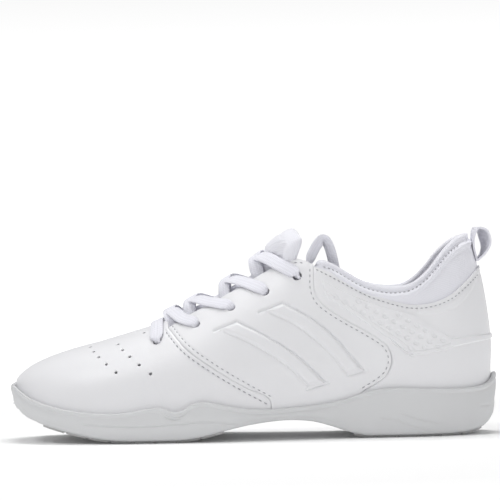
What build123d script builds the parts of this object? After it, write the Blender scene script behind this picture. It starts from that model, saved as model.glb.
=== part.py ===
"""A left cheer shoe, as its separate pieces.

Frame: millimetres, +Z up, toe towards -X, the outer (lateral) side towards -Y. The origin is
on the ground under the middle of the sole.

The upper is described by one outer skin. A place on it is a station, which runs from the toe
along the outer side to the heel (and on, past the heel, along the inner side), and an angle,
which runs from the sole's edge at 0 up to the crown of the foot at a quarter turn (and on,
past the crown, down the inner side). Every sheet of the upper is a slab between two depths
under that skin.
"""

import os
from math import asin, atan2, cos, degrees, hypot, pi, radians, sin, tan

import numpy as np
from build123d import *

# ---------------------------------------------------------------- driving dimensions
HALF_LENGTH = 131.0
BALL_X = -50.0  # where the forefoot is widest
HEEL_X = 70.0  # centre that the heel is rounded about
BALL_OUTER, BALL_INNER = 47.0, 44.0
HEEL_OUTER, HEEL_INNER = 34.0, 32.5
TOE_SHARPNESS, HEEL_SHARPNESS = 2.45, 2.3
TOE_SWING = 7.0  # how far the toe's tip leans to the inner side

RIM_WALL = 2.2  # thickness of the sole's cup wall
FIT = 0.35  # room between the upper and the cup
OVERHANG = 1.8  # how far the upper swells out again over the cup's rim
SHOULDER = 0.035  # how much squarer than an ellipse the upper's section is

LEATHER = 1.4
GAP = 0.1  # between glued or stitched layers
BACKER_DEPTH, BACKER_END = 1.65, 2.5
LINING_DEPTH, LINING = 2.85, 0.8
COLLAR_DEPTH = 5.8  # depth of the lining behind the collar's foam
KNIT_DEPTH, KNIT = 1.5, 0.8
OVERLAY = 0.5

TREAD_PROUD = 1.3  # how far the outsole pads stand out of the foam
TREAD = TREAD_PROUD - 2 * GAP
TREAD_INSET = 6.0
BOARD, FOOTBED = 1.4, 3.6
SHANK = (-8.0, 58.0, 18.0, 1.2)  # from x, to x, width, thickness

EYELET_RADIUS = 2.8
PERFORATION_RADIUS = 0.65
LACE_WIDTH, LACE_THICKNESS = 6.6, 1.3
END_RADIUS = 1.5  # the free ends of the lace, as plain round tube
AGLET_RADIUS, AGLET_LENGTH = 1.4, 18.0
LACE_OUT, LACE_IN = 1.05, 4.6  # depth of the lace's middle, above the leather and under the lining
LACE_CROSS_UPPER, LACE_CROSS_LOWER = 0.6, 2.4
TONGUE_FOOT, TONGUE_TOP, TONGUE_DEPTH, TONGUE_THICK = -47.0, 27.0, 5.9, 6.2
TAB_WIDTH, TAB_THICK = 14.0, 1.2
REST_HEIGHT = 21.3  # where the free ends of the lace lie on the footbed
QUARTER_TURN = pi / 2


# ---------------------------------------------------------------- smooth curves
def curve(*points):
    """A smooth function of one number, through a few (number, value) points."""
    at, value = np.array(points, float).T
    slope = np.gradient(value, at)

    def smooth(x):
        i = int(np.clip(np.searchsorted(at, x) - 1, 0, len(at) - 2))
        step = at[i + 1] - at[i]
        t = min(1.0, max(0.0, (x - at[i]) / step))
        ease = t * t * (3 - 2 * t)
        bend = t * (1 - t) * step
        return float(value[i] + (value[i + 1] - value[i]) * ease
                     + bend * ((1 - t) * slope[i] - t * slope[i + 1]))

    return smooth


def smoothstep(x):
    t = min(1.0, max(0.0, x))
    return t * t * (3 - 2 * t)


# The sole seen from the side: its underside, the cup's rim and the floor inside the cup.
UNDERSIDE = ((-131, 27), (-129.6, 21), (-125, 15.2), (-116, 10.3), (-107, 7.2), (-96, 4.3), (-82, 1.4),
             (-66, 0), (-40, 0), (-27.5, 1.6), (-16, 4.3), (-4.5, 6.8), (8, 8.6), (18, 9.2),
             (31, 8.2), (41.5, 5.3), (50.5, 2.1), (60, 0), (104, 0), (117, 1.3), (123.5, 3.6),
             (127, 6.8), (129.6, 12), (131, 21))
RIM = ((-131, 30.5), (-129, 31.8), (-126, 29.2), (-119, 24), (-110, 20.8), (-100, 18.4), (-88, 16.7), (-76, 16),
       (-66, 16.5), (-58, 18), (-50, 18.8), (-45, 17.9), (-40, 16.2), (-35.5, 18.2), (-29.5, 21.2),
       (-20, 20.5), (-12, 18.7), (-4, 17.3), (6, 16.6), (22, 17.4), (36, 18.6), (49, 21.2),
       (58, 24), (66, 25.7), (76, 26.3), (93, 25.7), (112, 25.3), (123, 25.8), (128, 28.4), (131, 32.7))
FLOOR = ((-131, 20), (-112, 13.4), (-90, 9), (-66, 7), (-40, 7), (-16, 9.6), (6, 12), (24, 12.8),
         (46, 13.2), (66, 14.2), (100, 15.4), (131, 16))
ground_line, rim, floor = curve(*UNDERSIDE), curve(*RIM), curve(*FLOOR)


def underside(x):
    """Height of the sole's lowest face, flat on the ground under the ball and under the heel."""
    return max(0.0, ground_line(x))


outer_half = curve((BALL_X, BALL_OUTER), (-20, 45.6), (10, 40.4), (36, 36), (56, 34.2), (HEEL_X, HEEL_OUTER))
inner_half = curve((BALL_X, BALL_INNER), (-20, 38.6), (10, 32.4), (36, 30.6), (56, 32), (HEEL_X, HEEL_INNER))

# The height of the crown over each station. Behind the ankle's opening the skin has no crown,
# and these are the heights of the arch that its sides belong to.
crown = curve((-129.5, 29.5), (-128.8, 31.5), (-127.2, 34.2), (-124.4, 37), (-120.6, 39.8), (-115.8, 42.4),
              (-110, 44.9), (-102, 47.6), (-93, 50.2), (-83, 52.6), (-73, 55.4), (-63, 58.2),
              (-54, 61), (-45, 64.8), (-36, 69), (-27.5, 73.2), (-17, 78.9), (-7, 84.4),
              (7.5, 93.2), (20, 104), (34, 116), (55, 128), (79, 136), (105, 145), (131, 156))
collar_top = curve((33, 93), (38, 94.2), (43, 92.6), (50, 88.3), (59, 83), (68, 80.2), (79, 79.4), (89, 81),
                   (96, 85.2), (102, 90.8), (108, 97.5), (117, 104.5), (131, 107.5))
leather_top = curve((26, 95), (33, 92.4), (40, 89), (50, 83.4), (64, 76), (78, 71.8), (90, 69.9),
                    (99, 70.8), (107, 74.5), (115, 81.5), (123, 87.5), (131, 90))


def spine(x):
    """How far the middle of the foot lies to the inner side."""
    return TOE_SWING * (max(0.0, -20 - x) / (HALF_LENGTH - 20)) ** 2


def half_width(x, inner, inset=0.0):
    """From the spine out to the sole's edge, less an inset, in front of the heel's centre."""
    width = (inner_half if inner else outer_half)(max(x, BALL_X)) - inset
    reach = HALF_LENGTH + BALL_X - inset
    nose = min(1.0, max(0.0, (BALL_X - x) / reach)) ** TOE_SHARPNESS
    return width * (1 - nose) ** (1 / TOE_SHARPNESS)


def edge(station, inset=0.0, inner=False):
    """(centre, point on the sole's outline less an inset) for a station, seen from above."""
    if station > HALF_LENGTH:
        station, inner = 2 * HALF_LENGTH - station, not inner
    side = 1 if inner else -1
    if station <= HEEL_X:
        y = spine(station)
        return (station, y), (station, y + side * half_width(station, inner, inset))
    turn = QUARTER_TURN * (HALF_LENGTH - station) / (HALF_LENGTH - HEEL_X)
    long = HALF_LENGTH - HEEL_X - inset
    wide = (HEEL_INNER if inner else HEEL_OUTER) - inset
    radius = ((cos(turn) / long) ** HEEL_SHARPNESS + (sin(turn) / wide) ** HEEL_SHARPNESS) ** (
        -1 / HEEL_SHARPNESS)
    return (HEEL_X, 0.0), (HEEL_X + radius * cos(turn), side * radius * sin(turn))


def outer_skin(station, angle):
    """A point on the upper's outer skin."""
    inner = angle > QUARTER_TURN
    if inner:
        angle = pi - angle
    along = station if station <= HALF_LENGTH else 2 * HALF_LENGTH - station
    base = floor(along) + FIT
    square = 1 + SHOULDER * sin(2 * angle) ** 2
    height = (crown(along) - base) * square * sin(angle)
    swell = OVERHANG * smoothstep((base + height - rim(along)) / 24)
    (cx, cy), (ex, ey) = edge(station, RIM_WALL + FIT - swell, inner)
    share = cos(angle) * square
    return np.array((cx + (ex - cx) * share, cy + (ey - cy) * share, base + height))


def skin(station, angle, depth=0.0):
    """A point at a depth under the upper's outer skin."""
    here = outer_skin(station, angle)
    if depth == 0:
        return here
    step = 0.02
    behind = max(station - step, -HALF_LENGTH + 4)
    along = outer_skin(station + step, angle) - outer_skin(behind, angle)
    up = outer_skin(station, angle + step / 20) - outer_skin(station, angle - step / 20)
    inward = np.cross(up, along)
    return here + inward / np.linalg.norm(inward) * depth


def angle_at(station, height):
    """The angle at which the skin over a station has a height."""
    along = station if station <= HALF_LENGTH else 2 * HALF_LENGTH - station
    base = floor(along) + FIT
    share = min(1.0, max(0.0, (height - base) / (crown(along) - base)))
    low, high = 0.0, QUARTER_TURN
    for _ in range(40):
        middle = (low + high) / 2
        if (1 + SHOULDER * sin(2 * middle) ** 2) * sin(middle) < share:
            low = middle
        else:
            high = middle
    return (low + high) / 2


# ---------------------------------------------------------------- sheets on the skin
def trace(*points):
    """A line on the skin through (station, height) points, as a function from 0 to 1."""
    places = np.array(points, float)
    steps = np.hypot(*np.diff(places, axis=0).T)
    at = np.concatenate([[0], np.cumsum(steps)]) / steps.sum()
    station, height = curve(*zip(at, places[:, 0])), curve(*zip(at, places[:, 1]))

    def line(t):
        s = station(t)
        return np.array((s, angle_at(s, height(t))))

    return line


def straight(start, end):
    """A line of even steps between two (station, angle) places."""
    return lambda t: np.array(start) * (1 - t) + np.array(end) * t


def patch(bottom, top, left, right):
    """The region of the skin inside four lines that meet at its corners."""
    corners = bottom(0), bottom(1), top(0), top(1)

    def place(a, b):
        sides = (1 - b) * bottom(a) + b * top(a) + (1 - a) * left(b) + a * right(b)
        return sides - ((1 - a) * (1 - b) * corners[0] + a * (1 - b) * corners[1]
                        + (1 - a) * b * corners[2] + a * b * corners[3])

    return place


def other_side(place):
    """The same region on the inner side of the shoe."""
    return lambda a, b: (place(a, b)[0], pi - place(a, b)[1])


def sheet(place, outside, inside, along, up):
    """A slab between two depths (numbers, or functions of a place) under a region of the skin."""
    def surface(depth):
        rows = []
        for i in range(along + 1):
            row = []
            for j in range(up + 1):
                station, angle = place(i / along, j / up)
                deep = depth(station, angle) if callable(depth) else depth
                row.append(Vector(*skin(station, angle, deep)))
            rows.append(row)
        return smooth_face(rows)

    return closed_between(surface(outside), surface(inside))


def smooth_face(rows):
    """The closest smooth face through a grid of points that doesn't swing outside them."""
    reach = [sorted(getattr(p, axis) for row in rows for p in row) for axis in ("X", "Y", "Z")]
    for fit in (0.03, 0.05, 0.08, 0.12, 0.2, 0.3, 0.5):
        face = Face.make_surface_from_array_of_points(rows, tol=fit, min_deg=2, max_deg=3)
        box = face.bounding_box()
        swing = max(max(values[0] - low, high - values[-1]) for values, low, high in zip(
            reach, (box.min.X, box.min.Y, box.min.Z), (box.max.X, box.max.Y, box.max.Z)))
        if swing < 0.4:
            return face
    raise ValueError("no smooth face fits these points")


def closed_between(outer, inner):
    """A solid between two faces of four edges each."""
    sides = []
    for side in outer.edges():
        partner = min(inner.edges(), key=lambda e: (e @ 0.5 - side @ 0.5).length)
        if (partner @ 0 - side @ 0).length > (partner @ 1 - side @ 0).length:
            partner = partner.reversed()
        sides.append(Face.make_surface_from_curves(side, partner))
    solid = Solid(Shell([outer, inner, *sides]))
    return solid.fix() if solid.volume > 0 else -solid


def punch(solid, places, radius, depth=8.0):
    """The solid with round holes through it, square to the skin, at (station, angle) places."""
    for station, angle in places:
        start, end = Vector(*skin(station, angle, -3)), Vector(*skin(station, angle, depth))
        hole = Cylinder(radius, (end - start).length, align=(Align.CENTER, Align.CENTER, Align.MIN))
        solid = solid - Plane(origin=start, z_dir=end - start) * hole
    return solid


# ---------------------------------------------------------------- pattern lines of the upper
TOE_END = -127.8
THROAT = -46.0
SEAM = trace((9.5, floor(9.5) + FIT), (8.8, 21), (-4.5, 28.6), (-20.5, 38.6), (-36.5, 50.6), (-44.6, 60.2))
SADDLE_BACK = trace((56, floor(56) + FIT), (58, 24.5), (65, 28.6), (71.6, 34.2), (74.2, 41), (72.4, 47),
                    (62, 55.4), (52.6, 60.9), (43, 67), (35.6, 73.2), (33.2, 79), (33.2, 86), (33.4, 92.4))
EYELETS = [(-50.5, 53.2), (-29.7, 61.6), (-10.9, 70.3), (7.3, 78.2), (24.5, 86.2)]
PERFORATION_ROWS = (((-86.8, 50.2), (-84.6, 47.9), (-81.7, 45.2), (-77.4, 41.6), (-72.1, 37.4)),
                    ((-71.6, 51.6), (-68.8, 48.8), (-64.9, 45.4), (-59.8, 41.2), (-53.8, 36.5)))


def eyelet_places(inner):
    return [(x, pi - angle_at(x, z) if inner else angle_at(x, z)) for x, z in EYELETS]


def feather(start, end):
    """The skin's lower edge, inside the sole's cup."""
    return straight((start, 0.0), (end, 0.0))


def vamp_back(t):
    """The vamp's rear edge, from the outer side over the throat to the inner side."""
    side = min(t, 1 - t) * 2
    if side < 0.82:
        station, angle = SEAM(side / 0.82)
    else:
        share = (side - 0.82) / 0.18
        start = SEAM(1.0)
        station = start[0] + (THROAT - start[0]) * smoothstep(share)
        angle = start[1] + (QUARTER_TURN - start[1]) * share
    return np.array((station, angle if t <= 0.5 else pi - angle))


def over_the_toe(front, back, low=0.0):
    """A region over the crown, from an angle at one side of the sole to the same at the other."""
    def place(a, b):
        station, angle = back(b)
        even = low + (pi - 2 * low) * b
        return np.array((front + (station - front) * a, even + (angle - even) * a ** 2))

    return place


def round_the_heel(start, low, high):
    """A region from a station on the outer side round the heel, between two heights."""
    def place(a, b):
        station = start + (2 * HALF_LENGTH - 2 * start) * a
        along = min(station, 2 * HALF_LENGTH - station)
        bottom, top = (angle_at(along, height(along)) for height in (low, high))
        return np.array((station, bottom + (top - bottom) * b))

    return place


def lining_depth(station, angle):
    """The lining lies deeper behind the collar, where foam fills the room."""
    along = min(station, 2 * HALF_LENGTH - station)
    height = outer_skin(station, angle)[2]
    behind = smoothstep((height - collar_top(max(33, along)) + 34) / 16) * smoothstep((along - 36) / 10)
    return LINING_DEPTH + (COLLAR_DEPTH - LINING_DEPTH) * behind


# ---------------------------------------------------------------- the upper's pieces
def perforation_places():
    places = []
    for row in PERFORATION_ROWS:
        for x, z in row:
            angle = angle_at(x, z)
            places += [(x, angle), (x, pi - angle)]
    return places


def vamp():
    body = sheet(over_the_toe(TOE_END, vamp_back), 0, LEATHER, 44, 36)
    eyelets = [eyelet_places(False)[0], eyelet_places(True)[0]]
    return punch(punch(body, eyelets, EYELET_RADIUS), perforation_places(), PERFORATION_RADIUS)


def toe_puff():
    edge_line = straight((-92.0, 0.3), (-92.0, pi - 0.3))
    return sheet(over_the_toe(TOE_END + 2.5, edge_line, 0.3), 1.65, 2.35, 24, 28)


def vamp_lining():
    throat = over_the_toe(TOE_END + 2.5, straight((THROAT - 1, 0.16), (THROAT - 1, pi - 0.16)), 0.16)
    eyelets = [eyelet_places(False)[0], eyelet_places(True)[0]]
    return punch(sheet(throat, 2.6, 3.3, 36, 32), eyelets, EYELET_RADIUS)


def inset_line(line, step):
    """A pattern line moved along the stations, to leave room between two butted pieces."""
    return lambda t: line(t) + np.array((step, 0.0))


def saddle_region():
    left, right = inset_line(SEAM, 0.2), inset_line(SADDLE_BACK, -0.2)
    top = trace((-44.4, 60.2), (-36, 65.4), (-27.6, 69.6), (-7, 80.5), (7.6, 88.7), (18, 93.8), (26, 95.2),
                (33.2, 92.4))
    return patch(straight(left(0), right(0)), top, left, right)


def saddle(inner):
    region = other_side(saddle_region()) if inner else saddle_region()
    return punch(sheet(region, 0, LEATHER, 40, 32), eyelet_places(inner)[1:], EYELET_RADIUS)


def eyestay_backer(inner):
    low = trace((-36, 55), (-27.6, 59), (-7, 68), (7.6, 75.5), (30, 83))
    high = trace((-36, 63.6), (-27.6, 68.2), (-7, 79), (7.6, 87), (18, 91.6), (30, 90.6))
    region = patch(low, high, straight(low(0), high(0)), straight(low(1), high(1)))
    region = other_side(region) if inner else region
    return punch(sheet(region, BACKER_DEPTH, BACKER_END, 30, 10), eyelet_places(inner)[1:], EYELET_RADIUS)


def rear_quarter(inner):
    left = SADDLE_BACK
    back = HALF_LENGTH - 0.1
    top_points = [(33.4, 92.4)] + [(x, leather_top(x)) for x in (40, 50, 64, 78, 90, 99, 107, 115, 123)]
    top = trace(*top_points, (back, leather_top(back)))
    right = straight((back, 0.0), tuple(top(1)))
    region = patch(straight(left(0), (back, 0.0)), top, left, right)
    region = other_side(region) if inner else region
    return sheet(region, 0, LEATHER, 40, 28)


def ankle_panel(inner):
    top = trace((37, 84.5), (50, 77.5), (64, 71.5), (78, 67.2), (88, 64.6), (98, 57.5), (105.5, 52.2))
    bottom = trace((39, 75.4), (49.2, 68.4), (62, 59.4), (75, 50.6), (86.5, 43.3), (95, 43.9), (105.5, 46.6))
    region = patch(bottom, top, straight(bottom(0), top(0)), straight(bottom(1), top(1)))
    region = other_side(region) if inner else region
    return sheet(region, -GAP / 2 - OVERLAY, -GAP / 2, 26, 8)


def heel_strap():
    low = curve((105.7, 46.6), (118, 49.5), (131, 50.8))
    high = curve((105.7, 52.2), (118, 53.2), (131, 53.8))
    return sheet(round_the_heel(105.7, low, high), -GAP / 2 - OVERLAY, -GAP / 2, 24, 3)


def heel_counter():
    low = curve((88, 22), (131, 23))
    high = curve((88, 38), (100, 52), (115, 62), (131, 66))
    return sheet(round_the_heel(88, low, high), BACKER_DEPTH, BACKER_END, 36, 12)


def collar_knit():
    low = curve(*[(x, leather_top(x) - 6) for x in (37, 52, 64, 78, 90, 107, 120, 131)])
    high = curve(*[(x, collar_top(x) - 2.2) for x in (37, 44, 52, 59, 68, 79, 89, 96, 102, 108, 117, 131)])
    return sheet(round_the_heel(37, low, high), KNIT_DEPTH, KNIT_DEPTH + KNIT, 46, 5)


def collar_foam():
    low = curve(*[(x, collar_top(x) - 27) for x in (52, 68, 79, 89, 96, 102, 108, 117, 131)])
    high = curve(*[(x, collar_top(x) - 2.6) for x in (52, 59, 68, 79, 89, 96, 102, 108, 117, 131)])
    return sheet(round_the_heel(52, low, high), KNIT_DEPTH + KNIT + 0.35,
                 lambda s, a: lining_depth(s, a) - 0.35, 44, 8)


EYESTAY_LINE = curve((-47, 57), (-44, 59.5), (-36, 65.4), (-27.6, 69.6), (-7, 80.5), (7.6, 88.7),
                     (18, 93.4), (26, 94.4), (33, 93.6), (38, 94))
lining_top = curve((-47, 55.5), (-36, 64), (-27.6, 68.4), (-7, 79.3), (7.6, 87.5), (18, 92), (26, 92.8),
                   (36, 91.2), (43, 89.4), (50, 85.9), (59, 80.6), (68, 77.8), (79, 77), (89, 78.6),
                   (96, 82.8), (102, 88.4), (108, 95.1), (117, 102), (131, 105.1))


def quarter_lining():
    """One lining from the vamp's throat, round the heel, to the throat on the other side."""
    def bottom(along):
        return floor(along) + 4.5

    body = sheet(round_the_heel(THROAT - 0.5, bottom, lining_top), lining_depth,
                 lambda s, a: lining_depth(s, a) + LINING, 90, 14)
    return punch(body, eyelet_places(False)[1:] + eyelet_places(True)[1:], EYELET_RADIUS)


def collar_binding():
    low = curve(*[(x, collar_top(x) - 2.0) for x in (37, 44, 52, 59, 68, 79, 89, 96, 102, 108, 117, 131)])
    high = curve(*[(x, collar_top(x) + 0.6) for x in (37, 44, 52, 59, 68, 79, 89, 96, 102, 108, 117, 131)])
    return sheet(round_the_heel(37, low, high), 1.3, lambda s, a: lining_depth(s, a) + LINING + 0.2, 46, 3)


# ---------------------------------------------------------------- tongue and pull tab
def tongue_region(inset=0.0):
    """From the throat up to the tongue's rounded top edge, across the crown."""
    def place(a, b):
        across = 2 * b - 1
        side = 1.06 - 0.22 * a + inset / 40
        end = TONGUE_TOP - 8 * across ** 2 - inset
        start = TONGUE_FOOT + inset
        return np.array((start + (end - start) * a, side + (pi - 2 * side) * b))

    return place


def tongue_lift(station, angle):
    """How far the tongue stands up out of the throat towards its top edge."""
    middle = max(0.0, 1 - abs(angle - QUARTER_TURN) / 0.43)
    return smoothstep((station - 15) / 13) * smoothstep(middle * 2)


def tongue_outside(extra):
    return lambda s, a: TONGUE_DEPTH + extra - 9.4 * tongue_lift(s, a)


def tongue_inside(extra):
    return lambda s, a: TONGUE_DEPTH + TONGUE_THICK - extra - 5.8 * tongue_lift(s, a)


def tongue_face():
    return sheet(tongue_region(), tongue_outside(0), tongue_outside(0.8), 32, 24)


def tongue_foam():
    return sheet(tongue_region(1.5), tongue_outside(1.2), tongue_inside(1.3), 32, 24)


def tongue_lining():
    return sheet(tongue_region(), tongue_inside(0.8), tongue_inside(0), 32, 24)


def pull_tab():
    """A loop of webbing that stands on the leather's top edge at the back of the heel."""
    front = [skin(HALF_LENGTH, angle_at(HALF_LENGTH, z), 0.9) for z in (91.4, 103)]
    corners = [(p[0], p[2]) for p in front] + [(118.6, 111.2), (124.8, 110.8), (128.2, 102.5), (125.4, 92.6)]
    outline = make_face(Polyline(*corners, close=True))
    outline = fillet(outline.vertices(), 1.9)
    band = outline - offset(outline, -TAB_THICK)
    return extrude(Plane.XZ * band, amount=TAB_WIDTH / 2, both=True)


# ---------------------------------------------------------------- laces
def edge_angle(station):
    return angle_at(station, EYESTAY_LINE(station))


def through_eyelet(incoming, eyelet, outgoing, last=False):
    """The lace's way down an eyelet: it comes over the edge, turns in, turns back underneath."""
    at = np.array(eyelet)
    steps = [(incoming, -LACE_OUT, 3.4), (incoming, -LACE_OUT, 1.5), (incoming, -LACE_OUT + 0.45, 0.42),
             (incoming, 0.65, 0), (incoming, LACE_IN - 1.5, 0), (outgoing, LACE_IN - 0.45, 0.42),
             (outgoing, LACE_IN, 1.5), (outgoing, LACE_IN, 3.4)]
    if last:
        steps += [(outgoing, LACE_IN + 1.3, 6.0), (outgoing, LACE_IN + 2.0, 7.5)]
    route = []
    for towards, depth, distance in steps:
        route.append((*(at + unit_step(at, towards) * distance), depth))
    return route


def unit_step(at, towards):
    """A one millimetre step over the skin from a place towards another."""
    step = (np.array(towards) - at) / 100
    length = np.linalg.norm(skin(*(at + step)) - skin(*at))
    return step / length


def crossing(start, end, upper, stations=13):
    """From under one side's eyestay, over the tongue, and on top of the other side's eyestay."""
    middle = LACE_CROSS_UPPER if upper else LACE_CROSS_LOWER
    route = []
    for i in range(1, stations):
        t = i / stations
        station, angle = np.array(start) * (1 - t) + np.array(end) * t
        near = angle if start[1] < QUARTER_TURN else pi - angle
        rim_near = edge_angle(station) + 0.06
        rim_far = pi - rim_near
        if near < rim_near:
            depth = LACE_IN
        elif near < QUARTER_TURN:
            depth = LACE_IN + (middle - LACE_IN) * smoothstep((near - rim_near) / (QUARTER_TURN - rim_near))
        elif near < rim_far:
            depth = middle + (-LACE_OUT - middle) * smoothstep((near - QUARTER_TURN) / (rim_far - QUARTER_TURN))
        else:
            depth = -LACE_OUT
        route.append((station, angle, depth))
    return route


def lace_route():
    """Places with depths, from the outer top eyelet, down, over the vamp, and up to the inner."""
    outer, inner = eyelet_places(False), eyelet_places(True)
    halves = []
    for side, other in ((outer, inner), (inner, outer)):
        half, here, there = [], side, other
        aim = other[0]
        for i in range(5):
            rise = 0.12 if here is outer else -0.12
            following = there[i + 1] if i < 4 else (here[i][0] + 12, here[i][1] + rise)
            half += through_eyelet(aim, here[i], following, i == 4)
            if i < 4:
                run = crossing(here[i], following, upper=(side is outer) == (i % 2 == 0))
                half += [p for p in run if far_from(p, here[i]) and far_from(p, following)]
                aim = here[i]
                here, there = there, here
        halves.append(half)
    bar = [(outer[0][0], outer[0][1] + (inner[0][1] - outer[0][1]) * i / 10, -LACE_OUT) for i in range(1, 10)]
    bar = [p for p in bar if far_from(p, outer[0]) and far_from(p, inner[0])]
    return halves[0][::-1] + bar + halves[1]


def far_from(place, eyelet):
    return np.linalg.norm(skin(place[0], place[1]) - skin(*eyelet)) > 6.0


def lace_sections():
    """(middle, width direction, thickness direction, width, thickness) along the lace."""
    route = lace_route()
    middles = np.array([skin(*place) for place in route])
    eyelets = [skin(*place, 1.8) for place in eyelet_places(False) + eyelet_places(True)]
    sections, width_way = [], None
    for i, place in enumerate(route):
        ahead, behind = middles[min(i + 1, len(route) - 1)], middles[max(i - 1, 0)]
        travel = (ahead - behind) / np.linalg.norm(ahead - behind)
        outward = skin(place[0], place[1], -1.0) - skin(place[0], place[1])
        across = np.cross(travel, outward)
        if width_way is None:
            width_way = across
        steep = abs(travel @ outward)
        across = across if across @ width_way > 0 else -across
        turned = across * (1 - smoothstep(steep * 1.6)) + width_way * smoothstep(steep * 1.6)
        turned = turned - travel * (turned @ travel)
        width_way = turned / np.linalg.norm(turned)
        close = min(np.linalg.norm(middles[i] - eyelet) for eyelet in eyelets)
        spread = smoothstep((close - 2.8) / 6)
        sections.append((middles[i], width_way, np.cross(travel, width_way),
                         3.6 + (LACE_WIDTH - 3.6) * spread, 1.4 + (LACE_THICKNESS - 1.4) * spread))
    return sections


def lace():
    wires = []
    for middle, side, face, width, thick in lace_sections():
        corners = [middle + side * width / 2 * a + face * thick / 2 * b
                   for a, b in ((-1, -1), (1, -1), (1, 1), (-1, 1))]
        wires.append(Wire.make_polygon([Vector(*c) for c in corners]))
    return Solid.make_loft(wires, ruled=True)


def lace_end(points, turns):
    """A free end as round tube, and its aglet."""
    way = FilletPolyline(*points, radius=turns) if turns else Polyline(*points)
    tube = sweep(Plane(origin=way @ 0, z_dir=way % 0) * Circle(END_RADIUS), path=way)
    tip = Plane(origin=way @ 1, z_dir=way % 1)
    aglet = tip * Cylinder(AGLET_RADIUS, AGLET_LENGTH, align=(Align.CENTER, Align.CENTER, Align.MIN))
    print("free end", round(way.length + AGLET_LENGTH, 1), "mm with its aglet; turns", turns)
    return tube, aglet


def end_route(inner):
    start_middle, _, _, _, _ = lace_sections()[-1 if inner else 0]
    start = tuple(float(v) for v in start_middle)
    if inner:
        return [start, (35, 14, 83), (47, 11, 52), (44, 8, REST_HEIGHT), (-30, 8, REST_HEIGHT - 4.2)], (9, 12, 9)
    return ([start, (31.5, -16.5, 97), (42, -13, 111), (49, -9, 60), (40, -6, REST_HEIGHT),
             (1.0, -8, REST_HEIGHT - 1.0)], (8, 4.6, 14, 9))


# ---------------------------------------------------------------- the sole's pieces
def outline_face(inset):
    """The sole's outline, less an inset, on the ground plane."""
    first, last = -HALF_LENGTH + inset, HALF_LENGTH
    outer = [edge(BALL_X + (first - BALL_X) * sin(QUARTER_TURN * t / 9), inset)[1] for t in range(9, 0, -1)]
    outer += [edge(BALL_X + (last - BALL_X) * t / 20, inset)[1] for t in range(21)]
    inner = [edge(BALL_X + (last - BALL_X) * t / 20, inset, True)[1] for t in range(19, -1, -1)]
    inner += [edge(BALL_X + (first - BALL_X) * sin(QUARTER_TURN * t / 9), inset, True)[1] for t in range(1, 9)]
    loop = Edge.make_spline([Vector(x, y, 0) for x, y in outer + inner], periodic=True)
    return Face(Wire([loop]))


def column(inset):
    return Solid.extrude(outline_face(inset), Vector(0, 0, 70))


def samples(height, start, end, step):
    """Points along a side view curve, as (x, z)."""
    count = max(2, round((end - start) / step))
    return [(start + (end - start) * i / count, height(start + (end - start) * i / count))
            for i in range(count + 1)]


def closing_in(height, start, end, step, turn=21.0):
    """Points along a side view curve that come closer together towards both ends."""
    places = [start + turn * t ** 1.7 for t in (0.0, 0.16, 0.32, 0.48, 0.66, 0.84)]
    places += [x for x, _ in samples(height, start + turn, end - turn, step)]
    places += [end - turn * t ** 1.7 for t in (0.84, 0.66, 0.48, 0.32, 0.16, 0.0)]
    return [(x, height(x)) for x in places]


def side_band(low, high, start=-HALF_LENGTH, end=HALF_LENGTH, step=6.0):
    """A band between two heights that vary along the shoe, as wide as the sole."""
    past = 0.5  # the band's ends stand clear of the sole's
    low_points = [(start - past, low(start))] + closing_in(low, start, end, step)[1:-1] + [(end + past, low(end))]
    high_points = [(start - past, high(start))] + closing_in(high, start, end, step)[1:-1]
    high_points += [(end + past, high(end))]
    bottom = Edge.make_spline([Vector(x, -70, z) for x, z in low_points])
    top = Edge.make_spline([Vector(x, -70, z) for x, z in high_points])
    ends = [Edge.make_line(bottom @ 0, top @ 0), Edge.make_line(bottom @ 1, top @ 1)]
    return Solid.extrude(Face(Wire([bottom, ends[1], top, ends[0]])), Vector(0, 140, 0))


FOREPAD = (-112.0, -16.0)
HEELPAD = (53.0, 122.0)
FLATS = ((-66.0, -40.0), (60.0, 104.0))  # where the treads lie on the ground


def tread_pad(span, flat, groove_pitch):
    """One rubber pad with flex grooves across it."""
    stretches = [samples(underside, span[0], flat[0], 2.5), samples(underside, flat[1], span[1], 2.5)]
    low = [point for stretch in stretches for point in stretch]
    outline = low + [(x, z + TREAD) for x, z in low[::-1]]
    face = Face(Wire.make_polygon([Vector(x, -70, z) for x, z in outline]))
    pad = Solid.extrude(face, Vector(0, 140, 0)) & column(TREAD_INSET)
    count = int((span[1] - span[0]) / groove_pitch)
    for i in range(1, count):
        x = span[0] + i * groove_pitch
        pad = pad - Pos(x, 0, underside(x)) * Box(1.4, 120, 1.2)
    return pad


def outsole_forefoot():
    pad = tread_pad(FOREPAD, FLATS[0], 12.0)
    for radius in (13.0, 18.0):
        ring = Cylinder(radius, 1.2) - Cylinder(radius - 1.2, 1.2)
        pad = pad - Pos(-53, 0, 0) * ring
    return pad


def outsole_heel():
    return tread_pad(HEELPAD, FLATS[1], 11.5)


def midsole():
    body = column(0) & side_band(lambda x: underside(x) + TREAD_PROUD, rim)
    pocket = column(RIM_WALL) & side_band(floor, lambda x: 60.0)
    body = body - pocket
    return body - shank_block(GAP)


def shank_block(room=0.0):
    start, end, width, thick = SHANK
    band = side_band(lambda x: floor(x) - thick - room, lambda x: floor(x) + (3 if room else -0.15), start, end)
    return band & Pos((start + end) / 2, 1, 10) * Box(end - start - 2 + 2 * room, width + 2 * room, 60)


def arch_shank():
    return shank_block()


def floor_layer(low, high, inset):
    return column(inset) & side_band(lambda x: floor(x) + low, lambda x: floor(x) + high)


def insole_board():
    return floor_layer(GAP, GAP + BOARD, 7.0)


def footbed():
    low = 2 * GAP + BOARD
    return floor_layer(low, low + FOOTBED, 8.0)


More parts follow.
